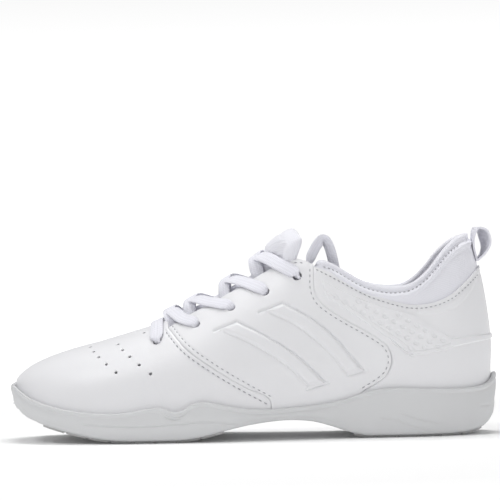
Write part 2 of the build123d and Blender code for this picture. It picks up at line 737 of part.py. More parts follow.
def export(name, shape):
    solids = [s for s in shape.solids() if s.volume > 1]
    export_step(Compound(children=solids) if len(solids) > 1 else solids[0], f"parts/{name}.step")
    box = shape.bounding_box().size
    print(f"{name:24s} solids {len(solids)} volume {sum(s.volume for s in solids):9.0f} "
          f"valid {all(s.is_valid for s in solids)} box {box.X:6.1f} {box.Y:6.1f} {box.Z:6.1f}")


PIECES = {
    "outsole_forefoot": outsole_forefoot,
    "outsole_heel": outsole_heel,
    "midsole": midsole,
    "arch_shank": arch_shank,
    "insole_board": insole_board,
    "footbed": footbed,
    "vamp": vamp,
    "toe_puff": toe_puff,
    "vamp_lining": vamp_lining,
    "saddle_lateral": lambda: saddle(False),
    "saddle_medial": lambda: saddle(True),
    "eyestay_backer_lateral": lambda: eyestay_backer(False),
    "eyestay_backer_medial": lambda: eyestay_backer(True),
    "rear_quarter_lateral": lambda: rear_quarter(False),
    "rear_quarter_medial": lambda: rear_quarter(True),
    "ankle_panel_lateral": lambda: ankle_panel(False),
    "ankle_panel_medial": lambda: ankle_panel(True),
    "heel_strap": heel_strap,
    "heel_counter": heel_counter,
    "collar_knit": collar_knit,
    "collar_foam": collar_foam,
    "quarter_lining": quarter_lining,
    "collar_binding": collar_binding,
    "tongue_face": tongue_face,
    "tongue_foam": tongue_foam,
    "tongue_lining": tongue_lining,
    "pull_tab": pull_tab,
    "lace": lace,
}

if __name__ == "__main__":
    os.makedirs("parts", exist_ok=True)
    for name, make in PIECES.items():
        export(name, make())
    for side, inner in (("lateral", False), ("medial", True)):
        tube, aglet = lace_end(*end_route(inner))
        export(f"lace_end_{side}", tube)
        export(f"aglet_{side}", aglet)
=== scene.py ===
"""Looks of a left cheer shoe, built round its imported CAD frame."""
import math

import bmesh
import bpy
import numpy as np
from bpy.props import FloatVectorProperty, PointerProperty
from mathutils import Matrix, Vector


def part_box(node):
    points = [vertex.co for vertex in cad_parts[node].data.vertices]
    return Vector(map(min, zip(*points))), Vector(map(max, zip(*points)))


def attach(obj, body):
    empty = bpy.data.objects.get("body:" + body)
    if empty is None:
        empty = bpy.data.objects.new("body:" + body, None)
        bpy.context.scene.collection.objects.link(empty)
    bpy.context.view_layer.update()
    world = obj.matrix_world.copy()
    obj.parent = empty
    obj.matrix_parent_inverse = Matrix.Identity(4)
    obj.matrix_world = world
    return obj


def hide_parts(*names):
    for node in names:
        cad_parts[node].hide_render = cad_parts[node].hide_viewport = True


bl_info = {
    "name": "Cheer shoe",
    "version": (1, 0, 0),
    "blender": (4, 5, 0),
    "location": "3D View > Sidebar > Cheer shoe",
    "description": "Builds the pieces of a low-cut cheer shoe round its CAD frame",
    "category": "Object",
}

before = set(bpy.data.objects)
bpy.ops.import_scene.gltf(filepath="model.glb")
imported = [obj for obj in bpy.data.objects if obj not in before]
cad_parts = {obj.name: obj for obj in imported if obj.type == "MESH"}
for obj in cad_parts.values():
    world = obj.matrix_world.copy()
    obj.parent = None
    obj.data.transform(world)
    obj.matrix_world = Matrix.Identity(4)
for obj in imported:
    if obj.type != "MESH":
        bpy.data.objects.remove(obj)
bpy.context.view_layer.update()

MM = 0.001
HALF_LENGTH, BALL_X, HEEL_X = 131.0, -50.0, 70.0
BALL_OUTER, BALL_INNER, HEEL_OUTER, HEEL_INNER = 47.0, 44.0, 34.0, 32.5
TOE_SHARPNESS, HEEL_SHARPNESS, TOE_SWING = 2.45, 2.3, 7.0
RIM_WALL, FIT, OVERHANG, SHOULDER = 2.2, 0.35, 1.8, 0.035
LEATHER, GAP, TREAD_PROUD = 1.4, 0.1, 1.3
LINING_DEPTH, COLLAR_DEPTH, LINING = 2.85, 5.8, 0.8
KNIT_DEPTH, KNIT = 1.5, 0.8
EYELET_RADIUS = 2.5
LACE_OUT, LACE_IN = 1.05, 4.6
TONGUE_FOOT, TONGUE_DEPTH, TONGUE_THICK = -47.0, 5.9, 6.2
REST_HEIGHT = 21.3
TOE_END, THROAT = -128.0, -46.0
QUARTER_TURN = math.pi / 2


# ------------------------------------------------------------------ smooth curves on arrays
def curve(*points):
    """A smooth function through a few (number, value) points."""
    at, value = np.array(points, float).T
    slope = np.gradient(value, at)

    def smooth(x):
        x = np.asarray(x, float)
        i = np.clip(np.searchsorted(at, x) - 1, 0, len(at) - 2)
        step = at[i + 1] - at[i]
        t = np.clip((x - at[i]) / step, 0, 1)
        return (value[i] + (value[i + 1] - value[i]) * t * t * (3 - 2 * t)
                + t * (1 - t) * step * ((1 - t) * slope[i] - t * slope[i + 1]))

    return smooth


def ease(x):
    t = np.clip(x, 0, 1)
    return t * t * (3 - 2 * t)


ground_line = curve((-131, 27), (-129.6, 21), (-125, 15.2), (-116, 10.3), (-107, 7.2), (-96, 4.3), (-82, 1.4),
                    (-66, 0), (-40, 0), (-27.5, 1.6), (-16, 4.3), (-4.5, 6.8), (8, 8.6), (18, 9.2),
                    (31, 8.2), (41.5, 5.3), (50.5, 2.1), (60, 0), (104, 0), (117, 1.3), (123.5, 3.6),
                    (127, 6.8), (129.6, 12), (131, 21))
rim = curve((-131, 30.5), (-129, 31.8), (-126, 29.2), (-119, 24), (-110, 20.8), (-100, 18.4), (-88, 16.7),
            (-76, 16), (-66, 16.5), (-58, 18), (-50, 18.8), (-45, 17.9), (-40, 16.2), (-35.5, 18.2),
            (-29.5, 21.2), (-20, 20.5), (-12, 18.7), (-4, 17.3), (6, 16.6), (22, 17.4), (36, 18.6),
            (49, 21.2), (58, 24), (66, 25.7), (76, 26.3), (93, 25.7), (112, 25.3), (123, 25.8),
            (128, 28.4), (131, 32.7))
lip = curve((-131, 29.8), (-129.4, 31), (-126.5, 29), (-119, 24), (-110, 20.8), (-100, 18.4), (-88, 16.7),
            (-76, 16), (-66, 16.5), (-58, 18), (-50, 18.8), (-46.4, 18.2), (-43.6, 16.9), (-40.4, 16.4),
            (-37.4, 17.2), (-34, 19.4), (-29.5, 21.2), (-20, 20.5), (-12, 18.7), (-4, 17.3), (6, 16.6),
            (22, 17.4), (36, 18.6), (49, 21.2), (58, 24), (66, 25.7), (76, 26.3), (93, 25.7), (108, 25.3),
            (114, 25.6), (119, 26.9), (124, 29.4), (128, 31.6), (131, 32.6))
floor = curve((-131, 20), (-112, 13.4), (-90, 9), (-66, 7), (-40, 7), (-16, 9.6), (6, 12), (24, 12.8),
              (46, 13.2), (66, 14.2), (100, 15.4), (131, 16))
underside = lambda x: np.maximum(0.0, ground_line(x))
outer_half = curve((BALL_X, BALL_OUTER), (-20, 45.6), (10, 40.4), (36, 36), (56, 34.2), (HEEL_X, HEEL_OUTER))
inner_half = curve((BALL_X, BALL_INNER), (-20, 38.6), (10, 32.4), (36, 30.6), (56, 32), (HEEL_X, HEEL_INNER))
crown = curve((-129.5, 29.5), (-128.8, 31.5), (-127.2, 34.2), (-124.4, 37), (-120.6, 39.8), (-115.8, 42.4),
              (-110, 44.9), (-102, 47.6), (-93, 50.2), (-83, 52.6), (-73, 55.4), (-63, 58.2), (-54, 61),
              (-45, 64.8), (-36, 69), (-27.5, 73.2), (-17, 78.9), (-7, 84.4), (7.5, 93.2), (20, 104),
              (34, 116), (55, 128), (79, 136), (105, 145), (131, 156))
collar_top = curve((33, 93), (38, 94.2), (43, 92.6), (50, 88.3), (59, 83), (68, 80.2), (79, 79.4), (89, 81),
                   (96, 85.2), (102, 90.8), (108, 97.5), (117, 104.5), (131, 107.5))
leather_top = curve((26, 95), (33, 92.4), (40, 89), (50, 83.4), (64, 76), (78, 71.8), (90, 69.9), (99, 70.8),
                    (107, 74.5), (115, 81.5), (123, 87.5), (131, 90))
eyestay_line = curve((-47, 57), (-44, 59.5), (-36, 65.4), (-27.6, 69.6), (-7, 80.5), (7.6, 88.7),
                     (18, 93.4), (26, 94.4), (33, 93.6), (38, 94))
lining_top = curve((-47, 55.5), (-36, 64), (-27.6, 68.4), (-7, 79.3), (7.6, 87.5), (18, 92), (26, 92.8),
                   (36, 91.2), (43, 89.4), (50, 85.9), (59, 80.6), (68, 77.8), (79, 77), (89, 78.6),
                   (96, 82.8), (102, 88.4), (108, 95.1), (117, 102), (131, 105.1))
EYELETS = [(-50.5, 53.2), (-29.7, 61.6), (-10.9, 70.3), (7.3, 78.2), (24.5, 86.2)]
PERFORATION_ROWS = (((-86.8, 50.2), (-84.6, 47.9), (-81.7, 45.2), (-77.4, 41.6), (-72.1, 37.4)),
                    ((-71.6, 51.6), (-68.8, 48.8), (-64.9, 45.4), (-59.8, 41.2), (-53.8, 36.5)),
                    ((-57.6, 57.4),))
SEAM_POINTS = ((8.8, 21), (-4.5, 28.6), (-20.5, 38.6), (-36.5, 50.6), (-44.6, 60.2))
BACK_POINTS = ((58, 24.5), (65, 28.6), (71.6, 34.2), (74.2, 41), (72.4, 47), (62, 55.4), (52.6, 60.9),
               (43, 67), (35.6, 73.2), (33.2, 79), (33.2, 86), (33.4, 92.4))


# ------------------------------------------------------------------ the shoe's outer skin
def edge(station, inset=0.0, inner=False):
    """Centre and outline point, seen from above, of each station; past the heel is the other side."""
    station = np.asarray(station, float)
    inner = np.asarray(inner) ^ (station > HALF_LENGTH)
    s = np.where(station > HALF_LENGTH, 2 * HALF_LENGTH - station, station)
    side = np.where(inner, 1.0, -1.0)
    wide_at = np.maximum(s, BALL_X)
    width = np.where(inner, inner_half(wide_at), outer_half(wide_at)) - inset
    nose = np.clip((BALL_X - s) / (HALF_LENGTH + BALL_X - inset), 0, 1) ** TOE_SHARPNESS
    front_y = TOE_SWING * (np.maximum(0, -20 - s) / (HALF_LENGTH - 20)) ** 2
    front_edge = front_y + side * width * (1 - nose) ** (1 / TOE_SHARPNESS)
    turn = QUARTER_TURN * (HALF_LENGTH - np.maximum(s, HEEL_X)) / (HALF_LENGTH - HEEL_X)
    long, wide = HALF_LENGTH - HEEL_X - inset, np.where(inner, HEEL_INNER, HEEL_OUTER) - inset
    c, n = np.maximum(np.cos(turn), 0), np.maximum(np.sin(turn), 0)
    radius = ((c / long) ** HEEL_SHARPNESS + (n / wide) ** HEEL_SHARPNESS) ** (-1 / HEEL_SHARPNESS)
    front = s <= HEEL_X
    zero = np.zeros_like(s)
    centre = np.stack([np.where(front, s, HEEL_X), np.where(front, front_y, zero)])
    point = np.stack([np.where(front, s, HEEL_X + radius * c),
                      np.where(front, front_edge, side * radius * n)])
    return centre, point


def outer_skin(station, angle):
    inner = angle > QUARTER_TURN
    angle = np.where(inner, math.pi - angle, angle)
    along = np.where(station > HALF_LENGTH, 2 * HALF_LENGTH - station, station)
    base = floor(along) + FIT
    square = 1 + SHOULDER * np.sin(2 * angle) ** 2
    height = (crown(along) - base) * square * np.sin(angle)
    swell = OVERHANG * ease((base + height - rim(along)) / 24)
    centre, point = edge(station, RIM_WALL + FIT - swell, inner)
    place = centre + (point - centre) * np.cos(angle) * square
    return np.stack([place[0], place[1], base + height], -1)


def skin(station, angle, depth=0.0):
    """Points at a depth under the outer skin, and the inward direction there."""
    station, angle = np.broadcast_arrays(np.asarray(station, float), np.asarray(angle, float))
    here = outer_skin(station, angle)
    step = 0.05
    behind = np.maximum(station - step, -HALF_LENGTH + 3)
    along = outer_skin(station + step, angle) - outer_skin(behind, angle)
    up = outer_skin(station, angle + step / 20) - outer_skin(station, angle - step / 20)
    inward = np.cross(up, along)
    inward /= np.linalg.norm(inward, axis=-1, keepdims=True)
    return here + inward * np.asarray(depth, float)[..., None], inward


def angle_at(station, height):
    station = np.asarray(station, float)
    along = np.where(station > HALF_LENGTH, 2 * HALF_LENGTH - station, station)
    base = floor(along) + FIT
    share = np.clip((height - base) / (crown(along) - base), 0, 1)
    low, high = np.zeros_like(share), np.full_like(share, QUARTER_TURN)
    for _ in range(30):
        middle = (low + high) / 2
        under = (1 + SHOULDER * np.sin(2 * middle) ** 2) * np.sin(middle) < share
        low, high = np.where(under, middle, low), np.where(under, high, middle)
    return (low + high) / 2


def lining_depth(station, angle):
    along = np.where(station > HALF_LENGTH, 2 * HALF_LENGTH - station, station)
    height = outer_skin(station, angle)[..., 2]
    behind = ease((height - collar_top(np.maximum(33, along)) + 34) / 16) * ease((along - 36) / 10)
    return LINING_DEPTH + (COLLAR_DEPTH - LINING_DEPTH) * behind


# ------------------------------------------------------------------ regions of the skin
def trace(*points):
    """A line through (station, height) points, as (station, angle) over 0 to 1."""
    places = np.array(points, float)
    steps = np.hypot(*np.diff(places, axis=0).T)
    at = np.concatenate([[0], np.cumsum(steps)]) / steps.sum()
    station, height = curve(*zip(at, places[:, 0])), curve(*zip(at, places[:, 1]))
    return lambda t: np.stack([station(t), angle_at(station(t), height(t))])


def straight(start, end):
    return lambda t: np.array(start)[:, None] * (1 - t) + np.array(end)[:, None] * t


def patch(bottom, top, left, right, fade=1):
    """A region between four edges. The higher the fade, the sooner the top edge's bends die out below it."""
    def place(a, b):
        ends = [line(np.array([t]))[:, 0:1] for line in (bottom, top) for t in (0.0, 1.0)]
        below = bottom(a) - (1 - a) * ends[0] - a * ends[1]
        above = top(a) - (1 - a) * ends[2] - a * ends[3]
        return (1 - a) * left(b) + a * right(b) + (1 - b) * below + b ** fade * above

    return place


def other_side(place):
    def mirrored(a, b):
        station, angle = place(a, b)
        return np.stack([station, math.pi - angle])

    return mirrored


def over_the_toe(front, back, low=0.0):
    def place(a, b):
        station, angle = back(b)
        even = low + (math.pi - 2 * low) * b
        return np.stack([front + (station - front) * a, even + (angle - even) * a ** 2])

    return place


def round_the_heel(start, low, high):
    def place(a, b):
        station = start + (2 * HALF_LENGTH - 2 * start) * a
        along = np.minimum(station, 2 * HALF_LENGTH - station)
        bottom, top = angle_at(along, low(along)), angle_at(along, high(along))
        return np.stack([station, bottom + (top - bottom) * b])

    return place


seam = trace((9.5, float(floor(9.5)) + FIT), *SEAM_POINTS)
saddle_back = trace((56, float(floor(56)) + FIT), *BACK_POINTS)


def vamp_back(t):
    side = np.minimum(t, 1 - t) * 2
    station, angle = seam(np.minimum(side / 0.82, 1))
    share = np.clip((side - 0.82) / 0.18, 0, 1)
    station = station + (THROAT - station) * ease(share) * (share > 0)
    angle = angle + (QUARTER_TURN - angle) * share
    return np.stack([station, np.where(t <= 0.5, angle, math.pi - angle)])


def saddle_region():
    top = trace((-44.5, 60.2), (-36, 65.4), (-27.6, 69.6), (-7, 80.5), (7.6, 88.7), (18, 93.8), (26, 95.2),
                (33.3, 92.4))
    left = lambda t: seam(t) + np.array([[0.12], [0.0]])
    right = lambda t: saddle_back(t) - np.array([[0.1], [0.0]])
    ends = [line(np.array([0.0]))[:, 0] for line in (left, right)]
    return patch(straight(*ends), top, left, right, fade=6)


def quarter_region():
    """The rear quarter, whose front edge runs on under the saddle."""
    back = HALF_LENGTH - 0.05
    points = [(31, 92.0)] + [(x, float(leather_top(x))) for x in (40, 50, 64, 78, 90, 99, 107, 115, 123)]
    top = trace(*points, (back, float(leather_top(back))))
    left = trace((46, float(floor(46)) + FIT), (42, 50), (33, 74), points[0])
    return patch(straight(left(np.array([0.0]))[:, 0], (back, 0.0)), top, left,
                 straight((back, 0.0), top(np.array([1.0]))[:, 0]))


PANEL_TOP = ((37, 84.5), (50, 77.5), (64, 71.5), (78, 67.2), (88, 64.6), (98, 57.5), (105.5, 52.2))
PANEL_BOTTOM = ((39, 75.4), (49.2, 68.4), (62, 59.4), (75, 50.6), (86.5, 43.3), (95, 43.9), (105.5, 46.6))


def panel_region():
    top, bottom = trace(*PANEL_TOP), trace(*PANEL_BOTTOM)
    ends = [[line(np.array([t]))[:, 0] for line in (bottom, top)] for t in (0.0, 1.0)]
    return patch(bottom, top, straight(*ends[0]), straight(*ends[1]))


def eyelet_places(inner):
    return [(x, float(math.pi - angle_at(x, z) if inner else angle_at(x, z))) for x, z in EYELETS]


# ------------------------------------------------------------------ side view drawing
def beside(points, line):
    """Distance of (x, z) points from a drawn line, and which side: positive is above."""
    line = np.array(line, float)
    best, sign = np.full(len(points), 1e9), np.ones(len(points))
    for start, end in zip(line[:-1], line[1:]):
        way = end - start
        t = np.clip(((points - start) @ way) / (way @ way), 0, 1)
        gap = points - start - t[:, None] * way
        distance = np.hypot(*gap.T)
        turned = (way[0] * gap[:, 1] - way[1] * gap[:, 0]) * (1 if way[0] >= 0 else -1)
        nearer = distance < best
        best, sign = np.where(nearer, distance, best), np.where(nearer, np.sign(turned), sign)
    return best, sign


def within(points, outline):
    """True for the (x, z) points inside a closed outline."""
    outline = np.array(outline, float)
    inside = np.zeros(len(points), bool)
    for (x1, z1), (x2, z2) in zip(outline, np.roll(outline, -1, axis=0)):
        crosses = (z1 > points[:, 1]) != (z2 > points[:, 1])
        at = x1 + (points[:, 1] - z1) * (x2 - x1) / ((z2 - z1) or 1e-9)
        inside ^= crosses & (points[:, 0] < at)
    return inside


def shifted(line, distance):
    """A drawn line moved sideways; positive is to its left as it is walked."""
    line = np.array(line, float)
    way = np.gradient(line, axis=0)
    way /= np.linalg.norm(way, axis=1, keepdims=True)
    return line + distance * np.stack([-way[:, 1], way[:, 0]], 1)


def rounded(line, count=40):
    """A drawn line through its points as a smooth one of many."""
    line = np.array(line, float)
    at = np.concatenate([[0], np.cumsum(np.hypot(*np.diff(line, axis=0).T))])
    t = np.linspace(0, at[-1], count)
    return np.stack([curve(*zip(at, line[:, 0]))(t), curve(*zip(at, line[:, 1]))(t)], 1)


BANDS = [
    {"arm": ((3.9, 67.5), (16.7, 72.2)),
     "upper": ((16.7, 72.2), (30.7, 64.2), (43.7, 53.5), (51.4, 44.4), (58.6, 35.8)),
     "lower": ((9.7, 67.1), (20.2, 62.2), (33.1, 52.6), (42.4, 43.5), (49.1, 34.4)),
     "end": ((50.6, 33.2), (60.2, 35.6))},
    {"arm": ((-20.1, 58.2), (-7.8, 62.9)),
     "upper": ((-7.8, 62.9), (5.3, 56.2), (19.8, 47.1), (30.7, 37.9), (38.0, 29.9)),
     "lower": ((-14.8, 57.6), (-1.2, 51.6), (11.9, 43.6), (22.7, 35.0), (28.6, 28.4)),
     "end": ((28.6, 26.2), (40.0, 29.6))},
]


def embossing(points):
    """Height of the saddle's two pressed bands over the leather, in mm, at (x, z) points."""
    height = np.zeros(len(points))
    for band in BANDS:
        upper, lower = rounded(band["upper"]), rounded(band["lower"])
        outline = np.concatenate([[band["arm"][0]], upper, lower[::-1]])
        rounded_in = ease(beside(points, np.concatenate([outline, outline[:1]]))[0] / 2.0)
        height += 0.95 * rounded_in * within(points, outline)
        cuts = ((upper, 1.0), (lower, 0.5), (band["arm"], 1.0), (band["end"], 0.6))
        height -= np.max([deep * np.exp(-(beside(points, line)[0] / 0.55) ** 2)
                          for line, deep in cuts], axis=0)
    return height


def dimples(points):
    """Depth of the ankle panel's rows of pressed ovals."""
    outline = np.concatenate([rounded(PANEL_TOP), rounded(PANEL_BOTTOM)[::-1]])
    first, along, across = np.array([40.3, 77.1]), np.array([4.62, -2.72]), np.array([0.35, 4.5])
    depth = np.zeros(len(points))
    for row in range(-3, 6):
        for i in range(-4, 20):
            spot = first + along * i + across * row + (along / 2 if row % 2 else 0)
            if within(spot[None], outline)[0] and beside(spot[None], np.concatenate(
                    [outline, outline[:1]]))[0][0] > 2.1:
                gap = points - spot
                long = gap @ (along / np.linalg.norm(along))
                wide = gap @ (np.array([2.72, 4.62]) / np.linalg.norm(along))
                depth += 0.85 * np.exp(-((long / 1.35) ** 2 + (wide / 1.05) ** 2) ** 1.8)
    return depth


# ------------------------------------------------------------------ finishes
class Value:
    """A shader socket that can be reckoned with."""

    def __init__(self, finish, socket):
        self.finish, self.socket = finish, socket

    def maths(self, operation, *others):
        return self.finish.node("ShaderNodeMath", {"operation": operation}, [self, *others])

    def __add__(self, other): return self.maths("ADD", other)
    def __mul__(self, other): return self.maths("MULTIPLY", other)
    def __sub__(self, other): return self.maths("SUBTRACT", other)
    def __truediv__(self, other): return self.maths("DIVIDE", other)
    def __pow__(self, other): return self.maths("POWER", other)
    def __neg__(self): return self.maths("MULTIPLY", -1.0)
    def __rsub__(self, other): return (-self).maths("ADD", other)
    def __radd__(self, other): return self.maths("ADD", other)
    def __rmul__(self, other): return self.maths("MULTIPLY", other)
    def sin(self): return self.maths("SINE")
    def size(self): return self.maths("ABSOLUTE")
    def over(self, edge): return self.maths("GREATER_THAN", edge)
    def held(self): return self.finish.node("ShaderNodeClamp", {}, [self])


class Finish:
    """A material whose nodes are added one by one."""

    def __init__(self, name, roughness=0.5, **constants):
        self.material = bpy.data.materials.new(name)
        self.material.use_nodes = True
        self.tree = self.material.node_tree
        self.shader = self.tree.nodes["Principled BSDF"]
        self.shader.inputs["Roughness"].default_value = roughness
        for socket, value in constants.items():
            self.shader.inputs[socket.replace("_", " ")].default_value = value

    def node(self, kind, settings, inputs, output=0):
        made = self.tree.nodes.new(kind)
        for name, value in settings.items():
            setattr(made, name, value)
        pairs = inputs.items() if isinstance(inputs, dict) else enumerate(inputs)
        for key, value in pairs:
            if isinstance(value, Value):
                self.tree.links.new(value.socket, made.inputs[key])
            else:
                made.inputs[key].default_value = value
        return Value(self, made.outputs[output])

    def place(self):
        return self.node("ShaderNodeTexCoord", {}, {}, "Object")

    def woven(self):
        """The cloth's own directions in millimetres, along and across."""
        uv = self.node("ShaderNodeUVMap", {"uv_map": "UVMap"}, {})
        return (self.node("ShaderNodeSeparateXYZ", {}, [uv], 0),
                self.node("ShaderNodeSeparateXYZ", {}, [uv], 1))

    def noise(self, scale, detail=3.0, where=None):
        return self.node("ShaderNodeTexNoise", {}, {
            "Vector": where or self.place(), "Scale": scale, "Detail": detail})

    def cells(self, scale, where=None):
        return self.node("ShaderNodeTexVoronoi", {}, {"Vector": where or self.place(), "Scale": scale})

    def blend(self, share, low, high):
        mix = self.tree.nodes.new("ShaderNodeMix")
        mix.data_type = "RGBA"
        for key, value in ((0, share), (6, low), (7, high)):
            if isinstance(value, Value):
                self.tree.links.new(value.socket, mix.inputs[key])
            else:
                mix.inputs[key].default_value = value if key == 0 else (*value, 1.0)
        return Value(self, mix.outputs[2])

    def bump(self, height, depth, strength=1.0, under=None):
        inputs = {"Height": height, "Distance": depth, "Strength": strength}
        if under is not None:
            inputs["Normal"] = under
        return self.node("ShaderNodeBump", {}, inputs)

    def join(self, **sockets):
        for name, value in sockets.items():
            self.tree.links.new(value.socket, self.shader.inputs[name.replace("_", " ")])
        return self.material


def shade(colour, factor):
    return tuple(min(1.0, c * factor) for c in colour)


def leather_finish(name, colour):
    f = Finish(name, 0.42, Coat_Weight=0.12, Coat_Roughness=0.35, Subsurface_Weight=0.0)
    grain = f.cells(1500.0) * 0.6 + f.noise(700.0, 4.0) * 0.5
    cloud = f.noise(28.0, 3.0)
    creases = f.bump(f.noise(160.0, 5.0), 0.00035, 0.35)
    return f.join(
        Base_Color=f.blend(cloud, shade(colour, 0.975), shade(colour, 1.01)),
        Roughness=(0.36 + f.noise(900.0, 2.0) * 0.1 + cloud * 0.06),
        Normal=f.bump(grain, 0.00012, 0.5, creases))


def rubber_finish(name, colour):
    f = Finish(name, 0.62)
    speckle = f.noise(2600.0, 2.0)
    blotch_noise = f.noise(60.0, 6.0)
    height = f.node("ShaderNodeSeparateXYZ", {}, [f.place()], 2)
    # Darker toward the ground: the lowest few millimetres of the sole are blended to a darker colour in noisy
    # patches.
    darker_near_ground = (1.0 - (height * 160.0).held()) * (blotch_noise - 0.35).held() * 1.2
    return f.join(
        Base_Color=f.blend(darker_near_ground.held(), shade(colour, 1.0), shade(colour, 0.8)),
        Roughness=0.54 + speckle * 0.16,
        Normal=f.bump(speckle, 0.00008, 0.6, f.bump(blotch_noise, 0.0003, 0.15)))


def knit_finish(name, colour, gauge=1.1):
    """Fine stretch knit: interlocked loops along and across."""
    f = Finish(name, 0.85, Sheen_Weight=0.35, Sheen_Roughness=0.5)
    along, across = f.woven()
    loops = ((along * (6.283 / gauge)).sin() * (across * (6.283 / gauge)).sin()) * 0.5 + 0.5
    fuzz = f.noise(1800.0, 3.0)
    return f.join(
        Base_Color=f.blend(loops * 0.55 + fuzz * 0.3, shade(colour, 0.9), shade(colour, 1.03)),
        Normal=f.bump(loops * 0.7 + fuzz * 0.4, 0.00016, 0.7))


def lining_finish(name, colour):
    """Spacer cloth: offset rows of small open cells."""
    f = Finish(name, 0.9, Sheen_Weight=0.3, Sheen_Roughness=0.6)
    along, across = f.woven()
    rows = (across * 2.4).sin()
    cells = ((along * 2.4).sin() * rows).size()
    pits = (cells - 0.42).held() * 1.7
    fuzz = f.noise(1500.0, 3.0)
    return f.join(
        Base_Color=f.blend(pits * 0.7 + fuzz * 0.2, shade(colour, 1.0), shade(colour, 0.84)),
        Normal=f.bump((1.0 - pits) + fuzz * 0.25, 0.0004, 0.8))


def braid_finish(name, colour):
    """Flat tubular braid: two sets of strands that cross at a slant."""
    f = Finish(name, 0.8, Sheen_Weight=0.45, Sheen_Roughness=0.45)
    along, across = f.woven()
    one, two = (along * 3.3 + across * 3.3).sin(), (along * 3.3 - across * 3.3).sin()
    strands = (one * two) * 0.5 + 0.5
    fuzz = f.noise(2400.0, 3.0)
    return f.join(
        Base_Color=f.blend(strands * 0.7 + fuzz * 0.3, shade(colour, 0.88), shade(colour, 1.04)),
        Normal=f.bump(strands + fuzz * 0.3, 0.0002, 0.75))


def tape_finish(name, colour):
    """Woven tape: ribs across its length."""
    f = Finish(name, 0.78, Sheen_Weight=0.3, Sheen_Roughness=0.5)
    along, across = f.woven()
    ribs = (along * 9.0).sin() * 0.5 + (across * 5.2).sin() * 0.3 + 0.5
    fuzz = f.noise(2200.0, 2.0)
    return f.join(
        Base_Color=f.blend(ribs * 0.6 + fuzz * 0.3, shade(colour, 0.9), shade(colour, 1.03)),
        Normal=f.bump(ribs + fuzz * 0.3, 0.00018, 0.7))


def board_finish(name, colour, roughness=0.85, scale=900.0):
    f = Finish(name, roughness)
    fibres = f.noise(scale, 5.0)
    return f.join(Base_Color=f.blend(fibres, shade(colour, 0.85), shade(colour, 1.08)),
                  Normal=f.bump(fibres, 0.0002, 0.5))


def film_finish(name, colour):
    f = Finish(name, 0.22, Coat_Weight=0.6, Coat_Roughness=0.1)
    along, across = f.woven()
    strands = (along * 3.3 + across * 3.3).sin() * (along * 3.3 - across * 3.3).sin() * 0.5 + 0.5
    return f.join(Base_Color=f.blend(strands, shade(colour, 0.92), shade(colour, 1.02)),
                  Normal=f.bump(strands, 0.00006, 0.6))


FINISHES = {}


def finish(slot):
    """The material for a slot of the record, made once."""
    looks = bpy.context.scene.cheer_shoe_looks
    makers = {
        "upper_leather": (leather_finish, looks.leather_colour),
        "sole_foam": (rubber_finish, looks.sole_colour),
        "tread_rubber": (rubber_finish, looks.tread_colour),
        "knit_fabric": (knit_finish, looks.knit_colour),
        "lining_fabric": (lining_finish, looks.lining_colour),
        "lace_fabric": (braid_finish, looks.lace_colour),
        "webbing": (tape_finish, looks.lace_colour),
        "aglet_plastic": (film_finish, looks.lace_colour),
        "footbed_fabric": (lining_finish, looks.lining_colour),
        "board": (board_finish, (0.52, 0.48, 0.4)),
        "stiffener": (board_finish, (0.66, 0.65, 0.6)),
        "padding": (board_finish, (0.78, 0.76, 0.68)),
        # Painted shade: near-black, for the sheet behind the perforations.
        "dark_foam": (board_finish, (0.03, 0.03, 0.035)),
        "shank_plastic": (board_finish, (0.3, 0.31, 0.33)),
        "thread": (tape_finish, looks.thread_colour),
    }
    if slot not in FINISHES:
        maker, colour = makers[slot]
        FINISHES[slot] = maker(slot, tuple(colour))
    return FINISHES[slot]


def add_piece(name, mesh_builder, slot, body="shoe", replaces=(), modifiers=()):
    """Turns a bmesh into a piece that rides on a body."""
    mesh = bpy.data.meshes.new(name)
    mesh_builder.to_mesh(mesh)
    mesh_builder.free()
    piece = bpy.data.objects.new(name, mesh)
    bpy.context.scene.collection.objects.link(piece)
    mesh.materials.append(finish(slot))
    for polygon in mesh.polygons:
        polygon.use_smooth = True
    for kind, settings in modifiers:
        modifier = piece.modifiers.new(kind.title(), kind)
        for key, value in settings.items():
            setattr(modifier, key, value)
    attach(piece, body)
    if replaces:
        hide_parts(*replaces)
    return piece


def grid(columns, rows, placed, weld=True):
    """A bmesh grid whose points go where placed(a, b) says, with UVs in millimetres."""
    bm = bmesh.new()
    uv = bm.loops.layers.uv.new("UVMap")
    bmesh.ops.create_grid(bm, x_segments=columns, y_segments=rows, size=0.5, calc_uvs=True)
    bm.verts.ensure_lookup_table()
    flat = np.array([v.co[:2] for v in bm.verts]) + 0.5
    points = placed(flat[:, 0], flat[:, 1])
    for vert, point in zip(bm.verts, points * MM):
        vert.co = point
    row = np.abs(flat[:, 1] - round(rows / 2) / rows) < 0.25 / rows
    column = np.abs(flat[:, 0] - round(columns / 2) / columns) < 0.25 / columns
    spans = []
    for picked, k in ((row, 0), (column, 1)):
        line = points[picked][np.argsort(flat[picked][:, k])]
        spans.append(float(np.linalg.norm(np.diff(line, axis=0), axis=1).sum()))
    for face in bm.faces:
        for loop in face.loops:
            loop[uv].uv = (loop[uv].uv[0] * spans[0], loop[uv].uv[1] * spans[1])
    if weld:
        bmesh.ops.remove_doubles(bm, verts=bm.verts, dist=1e-6)
    return bm


